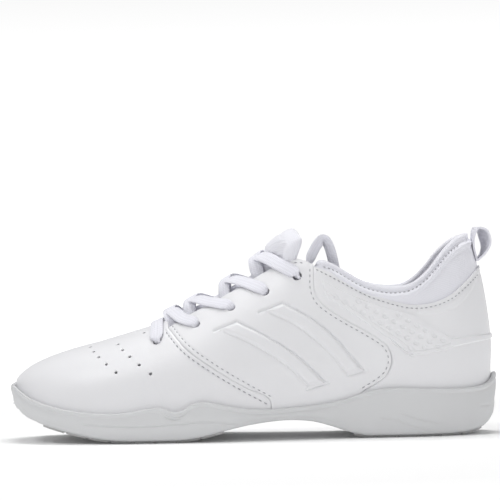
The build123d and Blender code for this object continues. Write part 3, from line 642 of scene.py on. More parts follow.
def cut_holes(bm, holes):
    """Opens round holes, given as (centre, radius) in mm, and rounds their rims."""
    for centre, radius in holes:
        centre = Vector(centre * MM)
        near = [v for v in bm.verts if (v.co - centre).length < (radius + 2.2) * MM]
        inside = [v for v in near if (v.co - centre).length < radius * 0.93 * MM]
        if not inside:
            inside = [min(near, key=lambda v: (v.co - centre).length)]
        kept = set(near) - set(inside)
        normal = sum((v.normal for v in near), Vector()).normalized()
        bmesh.ops.delete(bm, geom=inside, context="VERTS")
        for vert in kept:
            if vert.is_valid and vert.is_boundary and (vert.co - centre).length < (radius + 1.6) * MM:
                away = vert.co - centre
                away -= normal * away.dot(normal)
                vert.co += away.normalized() * (radius * MM) - away


def face_out(bm, outward):
    """Turns an open sheet so that its faces look along the given directions."""
    bm.normal_update()
    bm.verts.ensure_lookup_table()
    if sum(v.normal.dot(Vector(w)) for v, w in zip(bm.verts, outward)) < 0:
        bmesh.ops.reverse_faces(bm, faces=bm.faces)


def skin_piece(name, region, depth, thickness, columns, rows, slot, replaces, holes=(), relief=None,
               rounding=0.35, body="shoe", closed_toe=False):
    """A sheet of the upper: a grid on the skin, cut, thickened inwards and rounded at its edges."""
    kept = {}

    def placed(a, b):
        station, angle = region(a, b)
        deep = depth(station, angle) if callable(depth) else np.full(len(a), float(depth))
        if relief is not None:
            here = outer_skin(station, angle)
            deep = deep - relief(here, a, b)
        points, inward = skin(station, angle, deep)
        kept["outward"] = -inward
        return points

    bm = grid(columns, rows, placed, weld=False)
    face_out(bm, kept["outward"])
    cut_holes(bm, holes)
    if closed_toe:
        tip = sorted((v for v in bm.verts if v.co.x < (TOE_END + 0.02) * MM), key=lambda v: v.co.y)
        bmesh.ops.contextual_create(bm, geom=[tip[0], tip[-1]])
        bmesh.ops.holes_fill(bm, edges=[e for e in bm.edges if all(v in tip for v in e.verts)], sides=0)
        bmesh.ops.recalc_face_normals(bm, faces=bm.faces)
    return add_piece(name, bm, slot, body, replaces, (
        ("SOLIDIFY", {"thickness": thickness * MM, "offset": -1.0}),
        ("BEVEL", {"width": rounding * MM, "segments": 2, "limit_method": "ANGLE",
                   "angle_limit": math.radians(50)})))


def closed_piece(name, bm, slot, replaces, body="shoe", modifiers=()):
    bmesh.ops.remove_doubles(bm, verts=bm.verts, dist=1e-6)
    bmesh.ops.recalc_face_normals(bm, faces=bm.faces)
    return add_piece(name, bm, slot, body, replaces, modifiers)


# ------------------------------------------------------------------ the sole
GROOVES = (
    ((-88.8, 10.4), (-66.5, 9.0), (-40.8, 9.9), (-25.6, 10.8), (-10.9, 9.5)),
    ((78.6, 13.2), (88.7, 9.5), (98.8, 7.1)),
    ((66.8, 10.3), (77.5, 8.7), (85.4, 5.9), (96.1, 2.6)),
    ((-48.5, 16.4), (-45, 15.2), (-41, 13.9), (-37.5, 14.6), (-34.5, 16.6)),
    ((-46, 13.9), (-42, 12.4), (-38.5, 12.9)),
    ((116.5, 15.5), (121.5, 15.1), (126, 14.2)),
)


def sole_columns(count):
    """Stations round the sole's outline, from the toe by the outer side and back, with their side."""
    half = np.linspace(0, 1, count // 2 + 1)
    toe = 0.36
    stations = np.where(half < toe, BALL_X - (HALF_LENGTH + BALL_X) * np.cos(QUARTER_TURN * half / toe),
                        BALL_X + (HALF_LENGTH - BALL_X) * (half - toe) / (1 - toe))
    return (np.concatenate([stations, stations[-2::-1]]),
            np.concatenate([np.zeros(len(half), bool), np.ones(len(half) - 1, bool)]))


def ringed(name, rows, columns, slot, replaces):
    """A closed form of rings round the sole. Each row gives, for a station and how far back its edge is,
    the inset, the share of the way out from the middle, and the height, or the height as a function of x."""
    stations, inner = sole_columns(columns)

    def placed(a, b):
        column = np.rint(a * columns).astype(int)
        ring = np.rint(b * (len(rows) - 1)).astype(int)
        points = np.zeros((len(a), 3))
        for i, row in enumerate(rows):
            picked = ring == i
            s, side = stations[column[picked]], inner[column[picked]]
            centre, outline = edge(s, 0.0, side)
            inset, share, height = row(s, outline[0])
            place = centre + (edge_at(s, inset, side) - centre) * share
            height = height(place[0]) if callable(height) else height + 0 * s
            points[picked] = np.stack([place[0], place[1], height], 1)
        return points

    return closed_piece(name, grid(columns, len(rows) - 1, placed), slot, replaces)


def edge_at(stations, inset, side):
    inset = np.broadcast_to(np.asarray(inset, float), stations.shape)
    inset = np.maximum(inset, 0) + np.minimum(inset, 0) * ease((stations + HALF_LENGTH) / 6)
    kept = np.maximum(stations, -HALF_LENGTH + np.maximum(inset, 0) + 1e-3)
    centre, point = edge(kept, inset, side)
    return np.where(kept > stations, centre, point)


def build_midsole():
    bottom = lambda x: underside(x) + TREAD_PROUD
    rows = [lambda s, x, h=h: (RIM_WALL + 0.4, h, floor(s)) for h in (0.0, 0.5, 0.9)]
    rows += [lambda s, x: (RIM_WALL + 0.4, 1.0, floor(s)), lambda s, x: (RIM_WALL, 1.0, floor(s) + 1.0)]
    rows += [lambda s, x, t=t: (RIM_WALL, 1.0, floor(s) + 1 + (lip(s) - floor(s) - 1.9) * t)
             for t in (0.4, 0.8)]
    rolled = ((2.5, -0.8), (2.0, -0.3), (1.25, -0.04), (0.75, 0.0), (0.2, -0.14), (-0.12, -0.55), (-0.2, -1.1),
              (-0.05, -1.7), (0.22, -2.1), (0.4, -2.5))
    rows += [lambda s, x, i=i, d=d: (i, 1.0, lip(s) + d * np.clip((lip(s) - bottom(x)) / 6, 0.2, 1))
             for i, d in rolled]
    corner = lambda s, x: 2.4 * np.clip((lip(s) - bottom(x)) / 10, 0.15, 1)
    wall = 44

    def wall_row(t):
        def row(s, x):
            top = lip(s) - 2.5 * np.clip((lip(s) - bottom(x)) / 6, 0.2, 1)
            height = top + (bottom(x) + corner(s, x) - top) * t
            inset = 0.4 - 0.55 * np.sin(math.pi * t) ** 0.8 + 0.5 * t ** 3
            points = np.stack([s, height], 1)
            for groove in GROOVES:
                inset = inset + 0.5 * np.exp(-(beside(points, rounded(groove))[0] / 0.42) ** 2)
            return inset, 1.0, height
        return row

    rows += [wall_row(i / wall) for i in range(1, wall + 1)]
    rows += [lambda s, x, i=i, d=d: (i, 1.0, lambda at: bottom(at) + d * corner(s, at))
             for i, d in ((0.95, 0.62), (1.35, 0.3), (2.0, 0.09), (3.0, 0.0))]
    rows += [lambda s, x, h=h: (3.0, h, lambda at: bottom(at) + 0.4 * (1 - h)) for h in (0.85, 0.6, 0.3, 0.0)]
    return ringed("midsole_foam", rows, 620, "sole_foam", ["midsole"])


def build_footbed():
    low = 2 * GAP + 1.4
    rows = [lambda s, x, h=h: (8.0, h, floor(s) + low) for h in (0.0, 0.5, 0.97)]
    outline = ((8.0, 0.6), (7.8, 3.0), (8.4, 3.9), (9.6, 3.8))
    rows += [lambda s, x, i=i, h=h: (i, 1.0, floor(s) + low + h) for i, h in outline]
    rows += [lambda s, x, h=h: (9.6, h, floor(s) + low + 3.4 + 0.5 * h ** 4)
             for h in (0.9, 0.75, 0.55, 0.3, 0.0)]
    return ringed("footbed_cloth", rows, 240, "footbed_fabric", ["footbed"])


# ------------------------------------------------------------------ the upper
def perforations():
    spots = []
    for row in PERFORATION_ROWS:
        for x, z in row:
            angle = float(angle_at(x, z))
            spots += [(x, angle), (x, math.pi - angle)]
    return spots


def hole_list(places, radius, depth=0.0):
    return [(skin(np.array([s]), np.array([a]), np.array([depth]))[0][0], radius) for s, a in places]




def stitch_groove(here, lines, depth=0.22, width=0.7):
    points = here[:, [0, 2]]
    total = np.zeros(len(points))
    for line in lines:
        total += depth * np.exp(-(beside(points, line)[0] / width) ** 2)
    return total


VAMP_SIDE = [shifted(rounded(SEAM_POINTS, 24), 2.3)]
SADDLE_SIDE = [shifted(rounded(SEAM_POINTS, 24), -2.2)]
SADDLE_REAR = [shifted(rounded(BACK_POINTS, 30), 1.9)]
SADDLE_TOP = [shifted(rounded(((13, 91.6), (18, 93.8), (24, 95.2), (28, 95.0), (31.5, 93.2)), 24), -1.9)]
TOPLINE = [shifted(rounded([(x, float(leather_top(x))) for x in (35, 42, 50, 57, 64, 71, 78, 84, 90, 95,
                                                                99, 103, 107, 111, 115, 119, 123)], 40), -1.9)]
SEAM_SIDE = {"vamp": VAMP_SIDE, "saddle": SADDLE_SIDE + SADDLE_REAR + SADDLE_TOP, "quarter": TOPLINE}


def edge_roll(distance, height=0.35, width=1.6):
    """A cut edge that turns down a little."""
    return -height * (1 - ease(distance / width))


def build_vamp():
    def relief(here, a, b):
        roll = edge_roll((1 - a) * 120, 0.3)
        return roll - stitch_groove(here, VAMP_SIDE)

    holes = hole_list([eyelet_places(False)[0], eyelet_places(True)[0]], EYELET_RADIUS)
    holes += hole_list(perforations(), 0.9)
    return skin_piece("vamp_leather", over_the_toe(TOE_END, vamp_back), 0.0, LEATHER, 200, 214,
                      "upper_leather", ["vamp"], holes, relief, closed_toe=True)


def build_saddle(inner):
    def relief(here, a, b):
        points = here[:, [0, 2]]
        rows, columns = 82.0, 100.0
        roll = edge_roll(np.minimum(np.minimum(a, 1 - a) * columns, (1 - b) * rows), 0.35)
        return roll + embossing(points) - stitch_groove(here, SEAM_SIDE["saddle"])

    region = other_side(saddle_region()) if inner else saddle_region()
    side = "medial" if inner else "lateral"
    return skin_piece(f"saddle_leather_{side}", region, -0.25, LEATHER + 0.2, 240, 176, "upper_leather",
                      [f"saddle_{side}"], hole_list(eyelet_places(inner)[1:], EYELET_RADIUS, -0.25), relief)


HEEL_LINES = {
    "strap": ((86.5, 43.3), (95, 43.9), (105.5, 46.6), (118, 49.4), (131, 50.8)),
    "strap_top": ((98, 57.5), (105.5, 52.2), (118, 53.2), (131, 53.8)),
    "cap": ((88, 64.6), (96.5, 64.6), (105.2, 66.6), (112, 70.4), (116.6, 75.2), (120.6, 81.5), (123.2, 88)),
}


def build_quarter(inner):
    cap, back = rounded(HEEL_LINES["cap"]), rounded(BACK_POINTS, 40)
    covered = np.concatenate([back, [(0, 92.4), (0, 24.5)]])

    def relief(here, a, b):
        points = here[:, [0, 2]]
        roll = edge_roll((1 - b) * 66, 0.35)
        distance, side = beside(points, cap)
        strip = 0.35 * ease(distance / 0.8) * (side > 0) * (points[:, 0] > 88)
        distance, side = beside(points, back)
        edge_on = np.where(within(points, covered), 1, -1) * distance
        under = 0.35 * ease((edge_on + 0.9) / 0.9) + 1.3 * ease(edge_on / 1.0)
        return (roll + strip - 0.35 * np.exp(-(distance / 0.6) ** 2) * (points[:, 0] > 86)
                - stitch_groove(here, SEAM_SIDE["quarter"]) - under)

    region = other_side(quarter_region()) if inner else quarter_region()
    side = "medial" if inner else "lateral"
    return skin_piece(f"quarter_leather_{side}", region, 0.0, 1.1, 220, 140, "upper_leather",
                      [f"rear_quarter_{side}"], (), relief)


def build_ankle_panel(inner):
    low = rounded(PANEL_BOTTOM)
    whole = np.concatenate([rounded(PANEL_TOP), low[::-1]])
    whole = np.concatenate([whole, whole[:1]])

    def relief(here, a, b):
        points = here[:, [0, 2]]
        outer = beside(points, whole)[0] * (a < 0.985) + 3.0 * (a >= 0.985)
        inner_edge = beside(points, low)[0]
        field = ease((inner_edge - 2.3) / 0.7)
        groove = 0.28 * np.exp(-((inner_edge - 2.6) / 0.45) ** 2)
        return -0.75 * (1 - ease(outer / 0.8)) - 0.22 * field - groove - dimples(points)

    region = other_side(panel_region()) if inner else panel_region()
    side = "medial" if inner else "lateral"
    return skin_piece(f"ankle_panel_leather_{side}", region, -0.75, 0.9, 220, 60, "upper_leather",
                      [f"ankle_panel_{side}"], (), relief, 0.12)


def build_heel_strap():
    low = curve((105.7, 46.6), (118, 49.5), (131, 50.8))
    high = curve((105.7, 52.2), (118, 53.2), (131, 53.8))
    relief = lambda here, a, b: -0.85 * (1 - ease(np.minimum(b, 1 - b) * 4.4 / 1.0))
    return skin_piece("heel_strap_leather", round_the_heel(105.0, low, high), -0.75, 0.9, 110, 18,
                      "upper_leather", ["heel_strap"], (), relief, 0.12)


def build_collar():
    knit_low = lambda x: leather_top(np.maximum(x, 30)) - 5
    knit_high = lambda x: collar_top(x) - 1.6

    def knit_relief(here, a, b):
        station = 34.5 + (2 * HALF_LENGTH - 69.0) * a
        along = np.minimum(station, 2 * HALF_LENGTH - station)
        below = collar_top(along) - here[:, 2]
        ends = ease(a * 14) * ease((1 - a) * 14)
        full = 1.0 * np.sin(math.pi * np.clip(b, 0, 1)) ** 0.8
        roll = 1.1 * np.exp(-((below - 4.6) / 1.5) ** 2) - 0.35 * np.exp(-((below - 2.7) / 0.5) ** 2)
        return (full + roll) * ends

    pieces = [skin_piece("collar_knit_cloth", round_the_heel(34.5, knit_low, knit_high), KNIT_DEPTH + 0.2, KNIT,
                         320, 44, "knit_fabric", ["collar_knit"], (), knit_relief, 0.2)]

    def lining_relief(here, a, b):
        station = THROAT - 0.5 + (2 * HALF_LENGTH - 2 * (THROAT - 0.5)) * a
        along = np.minimum(station, 2 * HALF_LENGTH - station)
        top = collar_top(np.maximum(along, 33))
        bulge = np.exp(-((here[:, 2] - top + 13) / 9) ** 2) * ease((along - 40) / 16)
        return -2.2 * bulge

    pieces.append(skin_piece("quarter_lining_cloth",
                             round_the_heel(THROAT - 0.5, lambda x: floor(x) + 4.5, lining_top), lining_depth,
                             LINING, 260, 60, "lining_fabric", ["quarter_lining"],
                             hole_list([p for inner in (False, True) for p in eyelet_places(inner)[1:]],
                                       EYELET_RADIUS, LINING_DEPTH), lining_relief, 0.2))
    pieces.append(build_binding())
    return pieces


def build_binding():
    """The rolled edge of the collar: a soft oval roll over its whole rim."""
    columns, around = 260, 16

    def placed(a, b):
        station = 34.5 + (2 * HALF_LENGTH - 69.0) * a
        along = np.minimum(station, 2 * HALF_LENGTH - station)
        outside = skin(station, angle_at(along, collar_top(along) - 1.0), np.full(len(a), 1.2))[0]
        inside, inward = skin(station, angle_at(along, collar_top(along) - 1.0), np.full(len(a), 6.9))
        middle, across = (outside + inside) / 2, (inside - outside) / 2
        end = np.clip(np.minimum(a, 1 - a) * 90, 0.02, 1) ** 0.5
        turn = 2 * math.pi * b
        up = np.array([0.0, 0.0, 1.0])
        ridge = np.sign(np.sin(turn)) * np.abs(np.sin(turn)) ** 0.8
        return (middle + across * (np.cos(turn) * end)[:, None] + up * (2.1 * ridge * end)[:, None])

    bm = grid(columns, around, placed)
    bmesh.ops.holes_fill(bm, edges=[e for e in bm.edges if e.is_boundary], sides=0)
    return closed_piece("collar_binding_roll", bm, "knit_fabric", ["collar_binding"])


def build_hidden_sheets():
    """The stiffeners and linings between the layers, and a near-black sheet of painted shade behind the
    perforations.
    """
    front = over_the_toe(TOE_END + 2.5, straight((-92.0, 0.3), (-92.0, math.pi - 0.3)), 0.3)
    pieces = [skin_piece("toe_puff_sheet", front, 1.7, 0.6, 40, 50, "stiffener", ["toe_puff"], rounding=0.1)]
    throat = over_the_toe(TOE_END + 2.5, straight((THROAT - 1, 0.16), (THROAT - 1, math.pi - 0.16)), 0.16)
    eyelets = hole_list([eyelet_places(False)[0], eyelet_places(True)[0]], EYELET_RADIUS, 2.6)
    pieces.append(skin_piece("vamp_lining_cloth", throat, 2.6, 0.7, 110, 120, "lining_fabric",
                             ["vamp_lining"], eyelets, rounding=0.1))
    low, high = curve((88, 22), (131, 23)), curve((88, 38), (100, 52), (115, 62), (131, 66))
    pieces.append(skin_piece("heel_counter_sheet", round_the_heel(88, low, high), 1.7, 0.8, 70, 20, "stiffener",
                             ["heel_counter"], rounding=0.1))
    bottom = trace((-36, 55), (-27.6, 59), (-7, 68), (7.6, 75.5), (30, 83))
    top = trace((-36, 63.6), (-27.6, 68.2), (-7, 79), (7.6, 87), (18, 91.6), (30, 90.6))
    ends = [[line(np.array([t]))[:, 0] for line in (bottom, top)] for t in (0.0, 1.0)]
    backer = patch(bottom, top, straight(*ends[0]), straight(*ends[1]))
    for side, region, inner in (("lateral", backer, False), ("medial", other_side(backer), True)):
        pieces.append(skin_piece(f"eyestay_tape_{side}", region, 1.7, 0.8, 100, 16, "stiffener",
                                 [f"eyestay_backer_{side}"],
                                 hole_list(eyelet_places(inner)[1:], EYELET_RADIUS, 1.7), rounding=0.1))
    # Painted shade: a near-black sheet just under the perforated vamp, so that the holes read dark.
    perforated = over_the_toe(-96.0, straight((-55.4, 0.45), (-55.4, math.pi - 0.45)), 0.45)
    pieces.append(skin_piece("vamp_backing_foam", perforated, 1.46, 0.14, 50, 60, "dark_foam", [],
                             rounding=0.03))
    return pieces


# ------------------------------------------------------------------ tongue
def tongue_shape(a, across):
    """Stations, angles and the depth of the tongue's outer face, which stands up behind the top lace."""
    side = 1.06 - 0.12 * ease((a - 0.8) / 0.15)
    angle = side + (math.pi - 2 * side) * across
    lean = np.abs(angle - QUARTER_TURN)
    top = 25.5 + 4.0 * np.minimum(lean / 0.5, 1) ** 1.5 - 9.0 * ease((lean - 0.46) / 0.14)
    station = TONGUE_FOOT + (top - TONGUE_FOOT) * a
    base = TONGUE_DEPTH - 4.7 * (1 - ease(lean / 0.42)) * ease((station + 44) / 14)
    lift = ease((station - 24 * np.minimum(lean, 0.4)) / 14) * (1 - ease((lean - 0.46) / 0.2))
    return station, angle, base * (1 - lift) - 6.6 * lift


def build_tongue():
    """A padded tongue: one closed cushion with a sewn edge and a ribbed patch near its top."""
    columns, around = 220, 150

    def placed(a, b):
        face = b < 0.5
        across = np.where(face, b * 2, 2 - b * 2)
        station, angle, outside = tongue_shape(a, across)
        border = np.minimum(np.minimum(across, 1 - across) * 2.6, np.minimum((1 - a) * 7.5, a * 7 + 0.25))
        full = np.sqrt(np.clip(1 - (1 - np.clip(border, 0, 1)) ** 2, 0, 1))
        dip = 0.5 * np.exp(-((border - 0.62) / 0.09) ** 2)
        middle, half = outside + TONGUE_THICK / 2, TONGUE_THICK / 2
        over = (a - 0.87) * 76
        beyond = (angle - QUARTER_TURN) * 40 + 4
        patch_share = ease((4.6 - np.abs(over)) / 0.8) * ease((12.5 - np.abs(beyond)) / 0.8)
        ribs = patch_share * (0.25 + 0.28 * np.sin((over + 0.7 * beyond) * 3.6))
        depth = np.where(face, middle - half * full + dip - ribs, middle + half * full - dip)
        return skin(station, angle, depth)[0]

    bm = grid(columns, around, placed)
    bmesh.ops.remove_doubles(bm, verts=bm.verts, dist=2e-5)
    bmesh.ops.holes_fill(bm, edges=[e for e in bm.edges if e.is_boundary], sides=0)
    piece = closed_piece("tongue_pad", bm, "knit_fabric", ["tongue_face", "tongue_foam", "tongue_lining"],
                         body="tongue")
    return [piece]


# ------------------------------------------------------------------ pull tab
def build_pull_tab():
    """A loop of tape, its ends sewn together at the back of the heel."""
    low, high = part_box("pull_tab")
    x0, x1, z0, z1 = low.x / MM, high.x / MM, low.z / MM, high.z / MM
    loop = rounded(((x0 + 2.6, z0 + 0.4), (x0 + 0.9, z0 + 8.5), (x0 + 1.1, z0 + 14.5), (x0 + 3.3, z1 - 0.5),
                    (x0 + 6.2, z1 - 1.2), (x1 - 1.0, z0 + 13), (x1 - 0.5, z0 + 9), (x1 - 2.6, z0 + 3.6),
                    (x0 + 3.6, z0 + 0.4)), 120)
    width, columns, rows = high.y / MM, 120, 16

    def placed(a, b):
        i = np.clip(a * (len(loop) - 1), 0, len(loop) - 1.001)
        k = i.astype(int)
        point = loop[k] + (loop[k + 1] - loop[k]) * (i - k)[:, None]
        across = (2 * b - 1) * width
        slant = -0.34 * across * np.exp(-((a - 0.64) / 0.22) ** 2)
        return np.stack([point[:, 0] + slant, across, point[:, 1]], 1)

    bm = grid(columns, rows, placed, weld=False)
    middle = Vector(((x0 + x1) / 2 * MM, 0, (z0 + z1) / 2 * MM))
    face_out(bm, [v.co - middle for v in bm.verts])
    return add_piece("pull_tab_tape", bm, "webbing", "pull_tab", ["pull_tab"], (
        ("SOLIDIFY", {"thickness": 1.05 * MM, "offset": -1.0}),
        ("BEVEL", {"width": 0.2 * MM, "segments": 2, "limit_method": "ANGLE",
                   "angle_limit": math.radians(50)})))


# ------------------------------------------------------------------ laces
def one_skin(station, angle, depth=0.0):
    return skin(np.array([station]), np.array([angle]), np.array([depth]))[0][0]


def unit_step(at, towards):
    step = (np.array(towards) - at) / 100
    return step / np.linalg.norm(one_skin(*(at + step)) - one_skin(*at))


def through_eyelet(incoming, eyelet, outgoing, last=False):
    at = np.array(eyelet)
    steps = [(incoming, -LACE_OUT, 3.4), (incoming, -LACE_OUT, 1.5), (incoming, -LACE_OUT + 0.45, 0.42),
             (incoming, 0.65, 0), (incoming, LACE_IN - 1.5, 0), (outgoing, LACE_IN - 0.45, 0.42),
             (outgoing, LACE_IN, 1.5), (outgoing, LACE_IN, 3.4)]
    if last:
        steps += [(outgoing, LACE_IN + 1.3, 6.0), (outgoing, LACE_IN + 2.0, 7.5)]
    return [(*(at + unit_step(at, towards) * distance), depth) for towards, depth, distance in steps]


def crossing(start, end, upper, count=22):
    """From under one side's eyestay, up over the tongue, and down on top of the other side."""
    nearer = (lambda a: a) if start[1] < QUARTER_TURN else (lambda a: math.pi - a)
    under, over, down = (max(start[0] + d, low) for d, low in ((-4.5, -44.2), (-1.0, -42.6), (7.5, -37.5)))
    rim_under, rim_down = (float(angle_at(x, eyestay_line(x))) for x in (under, down))
    station = curve((0, start[0]), (0.2, under), (0.5, over), (0.76, down), (1, end[0]))
    near = curve((0, nearer(start[1])), (0.2, rim_under + 0.05), (0.5, QUARTER_TURN),
                 (0.76, math.pi - rim_down), (1, nearer(end[1])))
    middle = (-4.2 if upper else -2.7) - (2.2 if start[0] > 0 else 0.0)
    depth = curve((0, LACE_IN), (0.22, LACE_IN), (0.5, middle), (0.76, -LACE_OUT - 0.25), (1, -LACE_OUT))
    route = []
    for t in np.arange(1, count) / count:
        route.append((float(station(t)), float(nearer(near(t))), float(depth(t))))
    aims = [(under, nearer(rim_under + 0.05)), (down, nearer(math.pi - rim_down))]
    return route, aims


def far_from(place, eyelet):
    return np.linalg.norm(one_skin(place[0], place[1]) - one_skin(*eyelet)) > 5.0


def lace_route():
    """Places with depths, from the outer top eyelet, down, over the vamp, and up to the inner."""
    outer, inner = eyelet_places(False), eyelet_places(True)
    halves = []
    for side, other in ((outer, inner), (inner, outer)):
        half, here, there, aim = [], side, other, other[0]
        for i in range(5):
            if i == 4:
                rise = 0.12 if here is outer else -0.12
                half += through_eyelet(aim, here[i], (here[i][0] + 12, here[i][1] + rise), True)
                break
            run, aims = crossing(here[i], there[i + 1], (side is outer) == (i % 2 == 0))
            half += through_eyelet(aim, here[i], aims[0])
            half += [p for p in run if far_from(p, here[i]) and far_from(p, there[i + 1])]
            aim, here, there = aims[1], there, here
        halves.append(half)
    bar = [(outer[0][0], outer[0][1] + (inner[0][1] - outer[0][1]) * i / 10, -LACE_OUT) for i in range(1, 10)]
    bar = [p for p in bar if far_from(p, outer[0]) and far_from(p, inner[0])]
    return halves[0][::-1] + bar + halves[1]


def lace_sections():
    """Middle, width direction, width and thickness along the laced run."""
    route = np.array(lace_route())
    middles, inward = skin(route[:, 0], route[:, 1], route[:, 2])
    outward = -inward
    eyelets = [one_skin(*place, 1.8) for place in eyelet_places(False) + eyelet_places(True)]
    made, width_way = [], None
    for i, middle in enumerate(middles):
        ahead, behind = middles[min(i + 1, len(route) - 1)], middles[max(i - 1, 0)]
        travel = (ahead - behind) / np.linalg.norm(ahead - behind)
        across = np.cross(travel, outward[i])
        width_way = across if width_way is None else width_way
        steep = abs(travel @ outward[i])
        across = across if across @ width_way > 0 else -across
        turned = across * (1 - ease(steep * 1.6)) + width_way * ease(steep * 1.6)
        turned = turned - travel * (turned @ travel)
        width_way = turned / np.linalg.norm(turned)
        spread = ease((min(np.linalg.norm(middle - e) for e in eyelets) - 1.6) / 3.4)
        made.append(np.concatenate([middle, width_way, [4.7 + 2.8 * spread, 1.6 - 0.2 * spread]]))
    return np.array(made)


def smooth_rows(rows, factor):
    """Rows of numbers drawn through by a Catmull-Rom spline, each gap in several steps."""
    padded = np.concatenate([rows[:1], rows, rows[-1:]])
    t = np.arange(factor)[:, None, None] / factor
    p0, p1, p2, p3 = padded[:-3], padded[1:-2], padded[2:-1], padded[3:]
    spans = 0.5 * (2 * p1 + (p2 - p0) * t + (2 * p0 - 5 * p1 + 4 * p2 - p3) * t ** 2
                   + (3 * p1 - p0 - 3 * p2 + p3) * t ** 3)
    return np.concatenate([spans.transpose(1, 0, 2).reshape(-1, rows.shape[1]), rows[-1:]])


def ribbon(middles, ways, widths, thicks, around=14):
    """A closed flat braid along a line of middles."""
    travel = np.gradient(middles, axis=0)
    travel /= np.linalg.norm(travel, axis=1, keepdims=True)
    ways = ways - travel * (ways * travel).sum(1, keepdims=True)
    ways /= np.linalg.norm(ways, axis=1, keepdims=True)
    faces = np.cross(travel, ways)
    count = len(middles)

    def placed(a, b):
        i = np.rint(a * (count + 1)).astype(int) - 1
        cap = (i < 0) | (i > count - 1)
        i = np.clip(i, 0, count - 1)
        turn = 2 * math.pi * b
        c, s = np.cos(turn), np.sin(turn)
        wide = np.sign(c) * np.abs(c) ** 0.75 * widths[i] / 2
        tall = np.sign(s) * np.abs(s) ** 0.7 * thicks[i] / 2
        size = np.where(cap, 0.0, 1.0)
        return middles[i] + ways[i] * (wide * size)[:, None] + faces[i] * (tall * size)[:, None]

    return grid(count + 1, around, placed)


def build_lace():
    rows = smooth_rows(lace_sections(), 3)
    bm = ribbon(rows[:, :3], rows[:, 3:6], rows[:, 6], rows[:, 7])
    return closed_piece("lace_braid", bm, "lace_fabric", ["lace"])


END_ROUTES = {
    "lateral": [None, (31.5, -16.5, 97), (42, -13, 111), (49, -9, 60), (40, -6, REST_HEIGHT),
                (1.0, -8, REST_HEIGHT - 1.0)],
    "medial": [None, (35, 14, 83), (47, 11, 52), (44, 8, REST_HEIGHT), (-30, 8, REST_HEIGHT - 4.2)],
}


def build_lace_end(side):
    sections = lace_sections()
    start = sections[0 if side == "lateral" else -1]
    points = [tuple(start[:3])] + END_ROUTES[side][1:]
    data = bpy.data.curves.new(f"lace_end_{side}_line", "CURVE")
    data.dimensions = "3D"
    data.resolution_u = 24
    spline = data.splines.new("NURBS")
    spline.points.add(len(points) - 1)
    for control, point in zip(spline.points, points):
        control.co = (*[float(v) * MM for v in point], 1.0)
    spline.order_u = 3
    spline.use_endpoint_u = True
    holder = bpy.data.objects.new("lace_end_line", data)
    bpy.context.scene.collection.objects.link(holder)
    bpy.context.view_layer.update()
    line = bpy.data.meshes.new_from_object(holder)
    path = np.array([v.co[:] for v in line.vertices]) / MM
    bpy.data.objects.remove(holder)
    bpy.data.meshes.remove(line)
    path = path[np.concatenate([[True], np.linalg.norm(np.diff(path, axis=0), axis=1) > 1e-4])]
    way = np.tile(np.array([0.0, 1.0, 0.25 if side == "lateral" else 0.2]), (len(path), 1))
    steps = np.linalg.norm(np.diff(path, axis=0), axis=1)
    at = np.concatenate([[0], np.cumsum(steps)])
    turned = ease((at - 60) / 40)
    travel = np.gradient(path, axis=0)
    facing = np.cross(travel, [0, 1.0, 0])
    facing /= np.linalg.norm(facing, axis=1, keepdims=True)
    share = (1 - turned) * ease(at / 8) * (1.3 if side == "lateral" else 0.5)
    way = way * (1 - turned)[:, None] + np.array([0.3, 1.0, 0.0]) * turned[:, None] - facing * share[:, None]
    spread = ease(at / 9) * (1 - 0.62 * ease((at - at[-1] + 8) / 8))
    widths, thicks = 4.2 + 2.7 * spread, 1.5 + 0.1 * (1 - spread)
    bm = ribbon(path, way, widths, thicks)
    braid = closed_piece(f"lace_end_braid_{side}", bm, "lace_fabric", [f"lace_end_{side}"])
    aglet = build_aglet(side, path)
    return [braid, aglet]


def build_aglet(side, path):
    way = path[-1] - path[-4]
    way /= np.linalg.norm(way)
    across = np.cross(way, [0, 0, 1.0])
    across /= np.linalg.norm(across)
    upright = np.cross(across, way)
    profile = ((-1.4, 0.0), (-1.4, 1.2), (-1.1, 1.42), (0.0, 1.36), (4.5, 1.33), (9.0, 1.33), (14.8, 1.33),
               (15.6, 1.5), (16.4, 1.42), (17.2, 1.1), (17.7, 0.6), (17.8, 0.0))

    def placed(a, b):
        i = np.rint(a * (len(profile) - 1)).astype(int)
        along, radius = np.array(profile)[i].T
        turn = 2 * math.pi * b
        return (path[-1] + way * along[:, None] + across * (radius * np.cos(turn))[:, None]
                + upright * (radius * 0.86 * np.sin(turn))[:, None])

    return closed_piece(f"aglet_film_{side}", grid(len(profile) - 1, 24, placed), "aglet_plastic",
                        [f"aglet_{side}"])


# ------------------------------------------------------------------ stitching
def stitch_line(line, pitch, side, depth):
    """Ends of each stitch along a drawn line on one side of the shoe."""
    line = rounded(line, 160)
    station, height = line.T
    angle = angle_at(station, height)
    angle = math.pi - angle if side == "medial" else angle
    points, inward = skin(station, angle, depth - 0.3 * ease((station - 88) / 6))
    at = np.concatenate([[0], np.cumsum(np.linalg.norm(np.diff(points, axis=0), axis=1))])
    made = []
    for i in range(int(at[-1] / pitch)):
        ends = [(i + share) * pitch for share in (0.14, 0.8)]
        made.append([np.stack([np.interp(e, at, points[:, k]) for k in range(3)]) for e in ends]
                    + [np.stack([np.interp(ends[0], at, -inward[:, k]) for k in range(3)])])
    return made


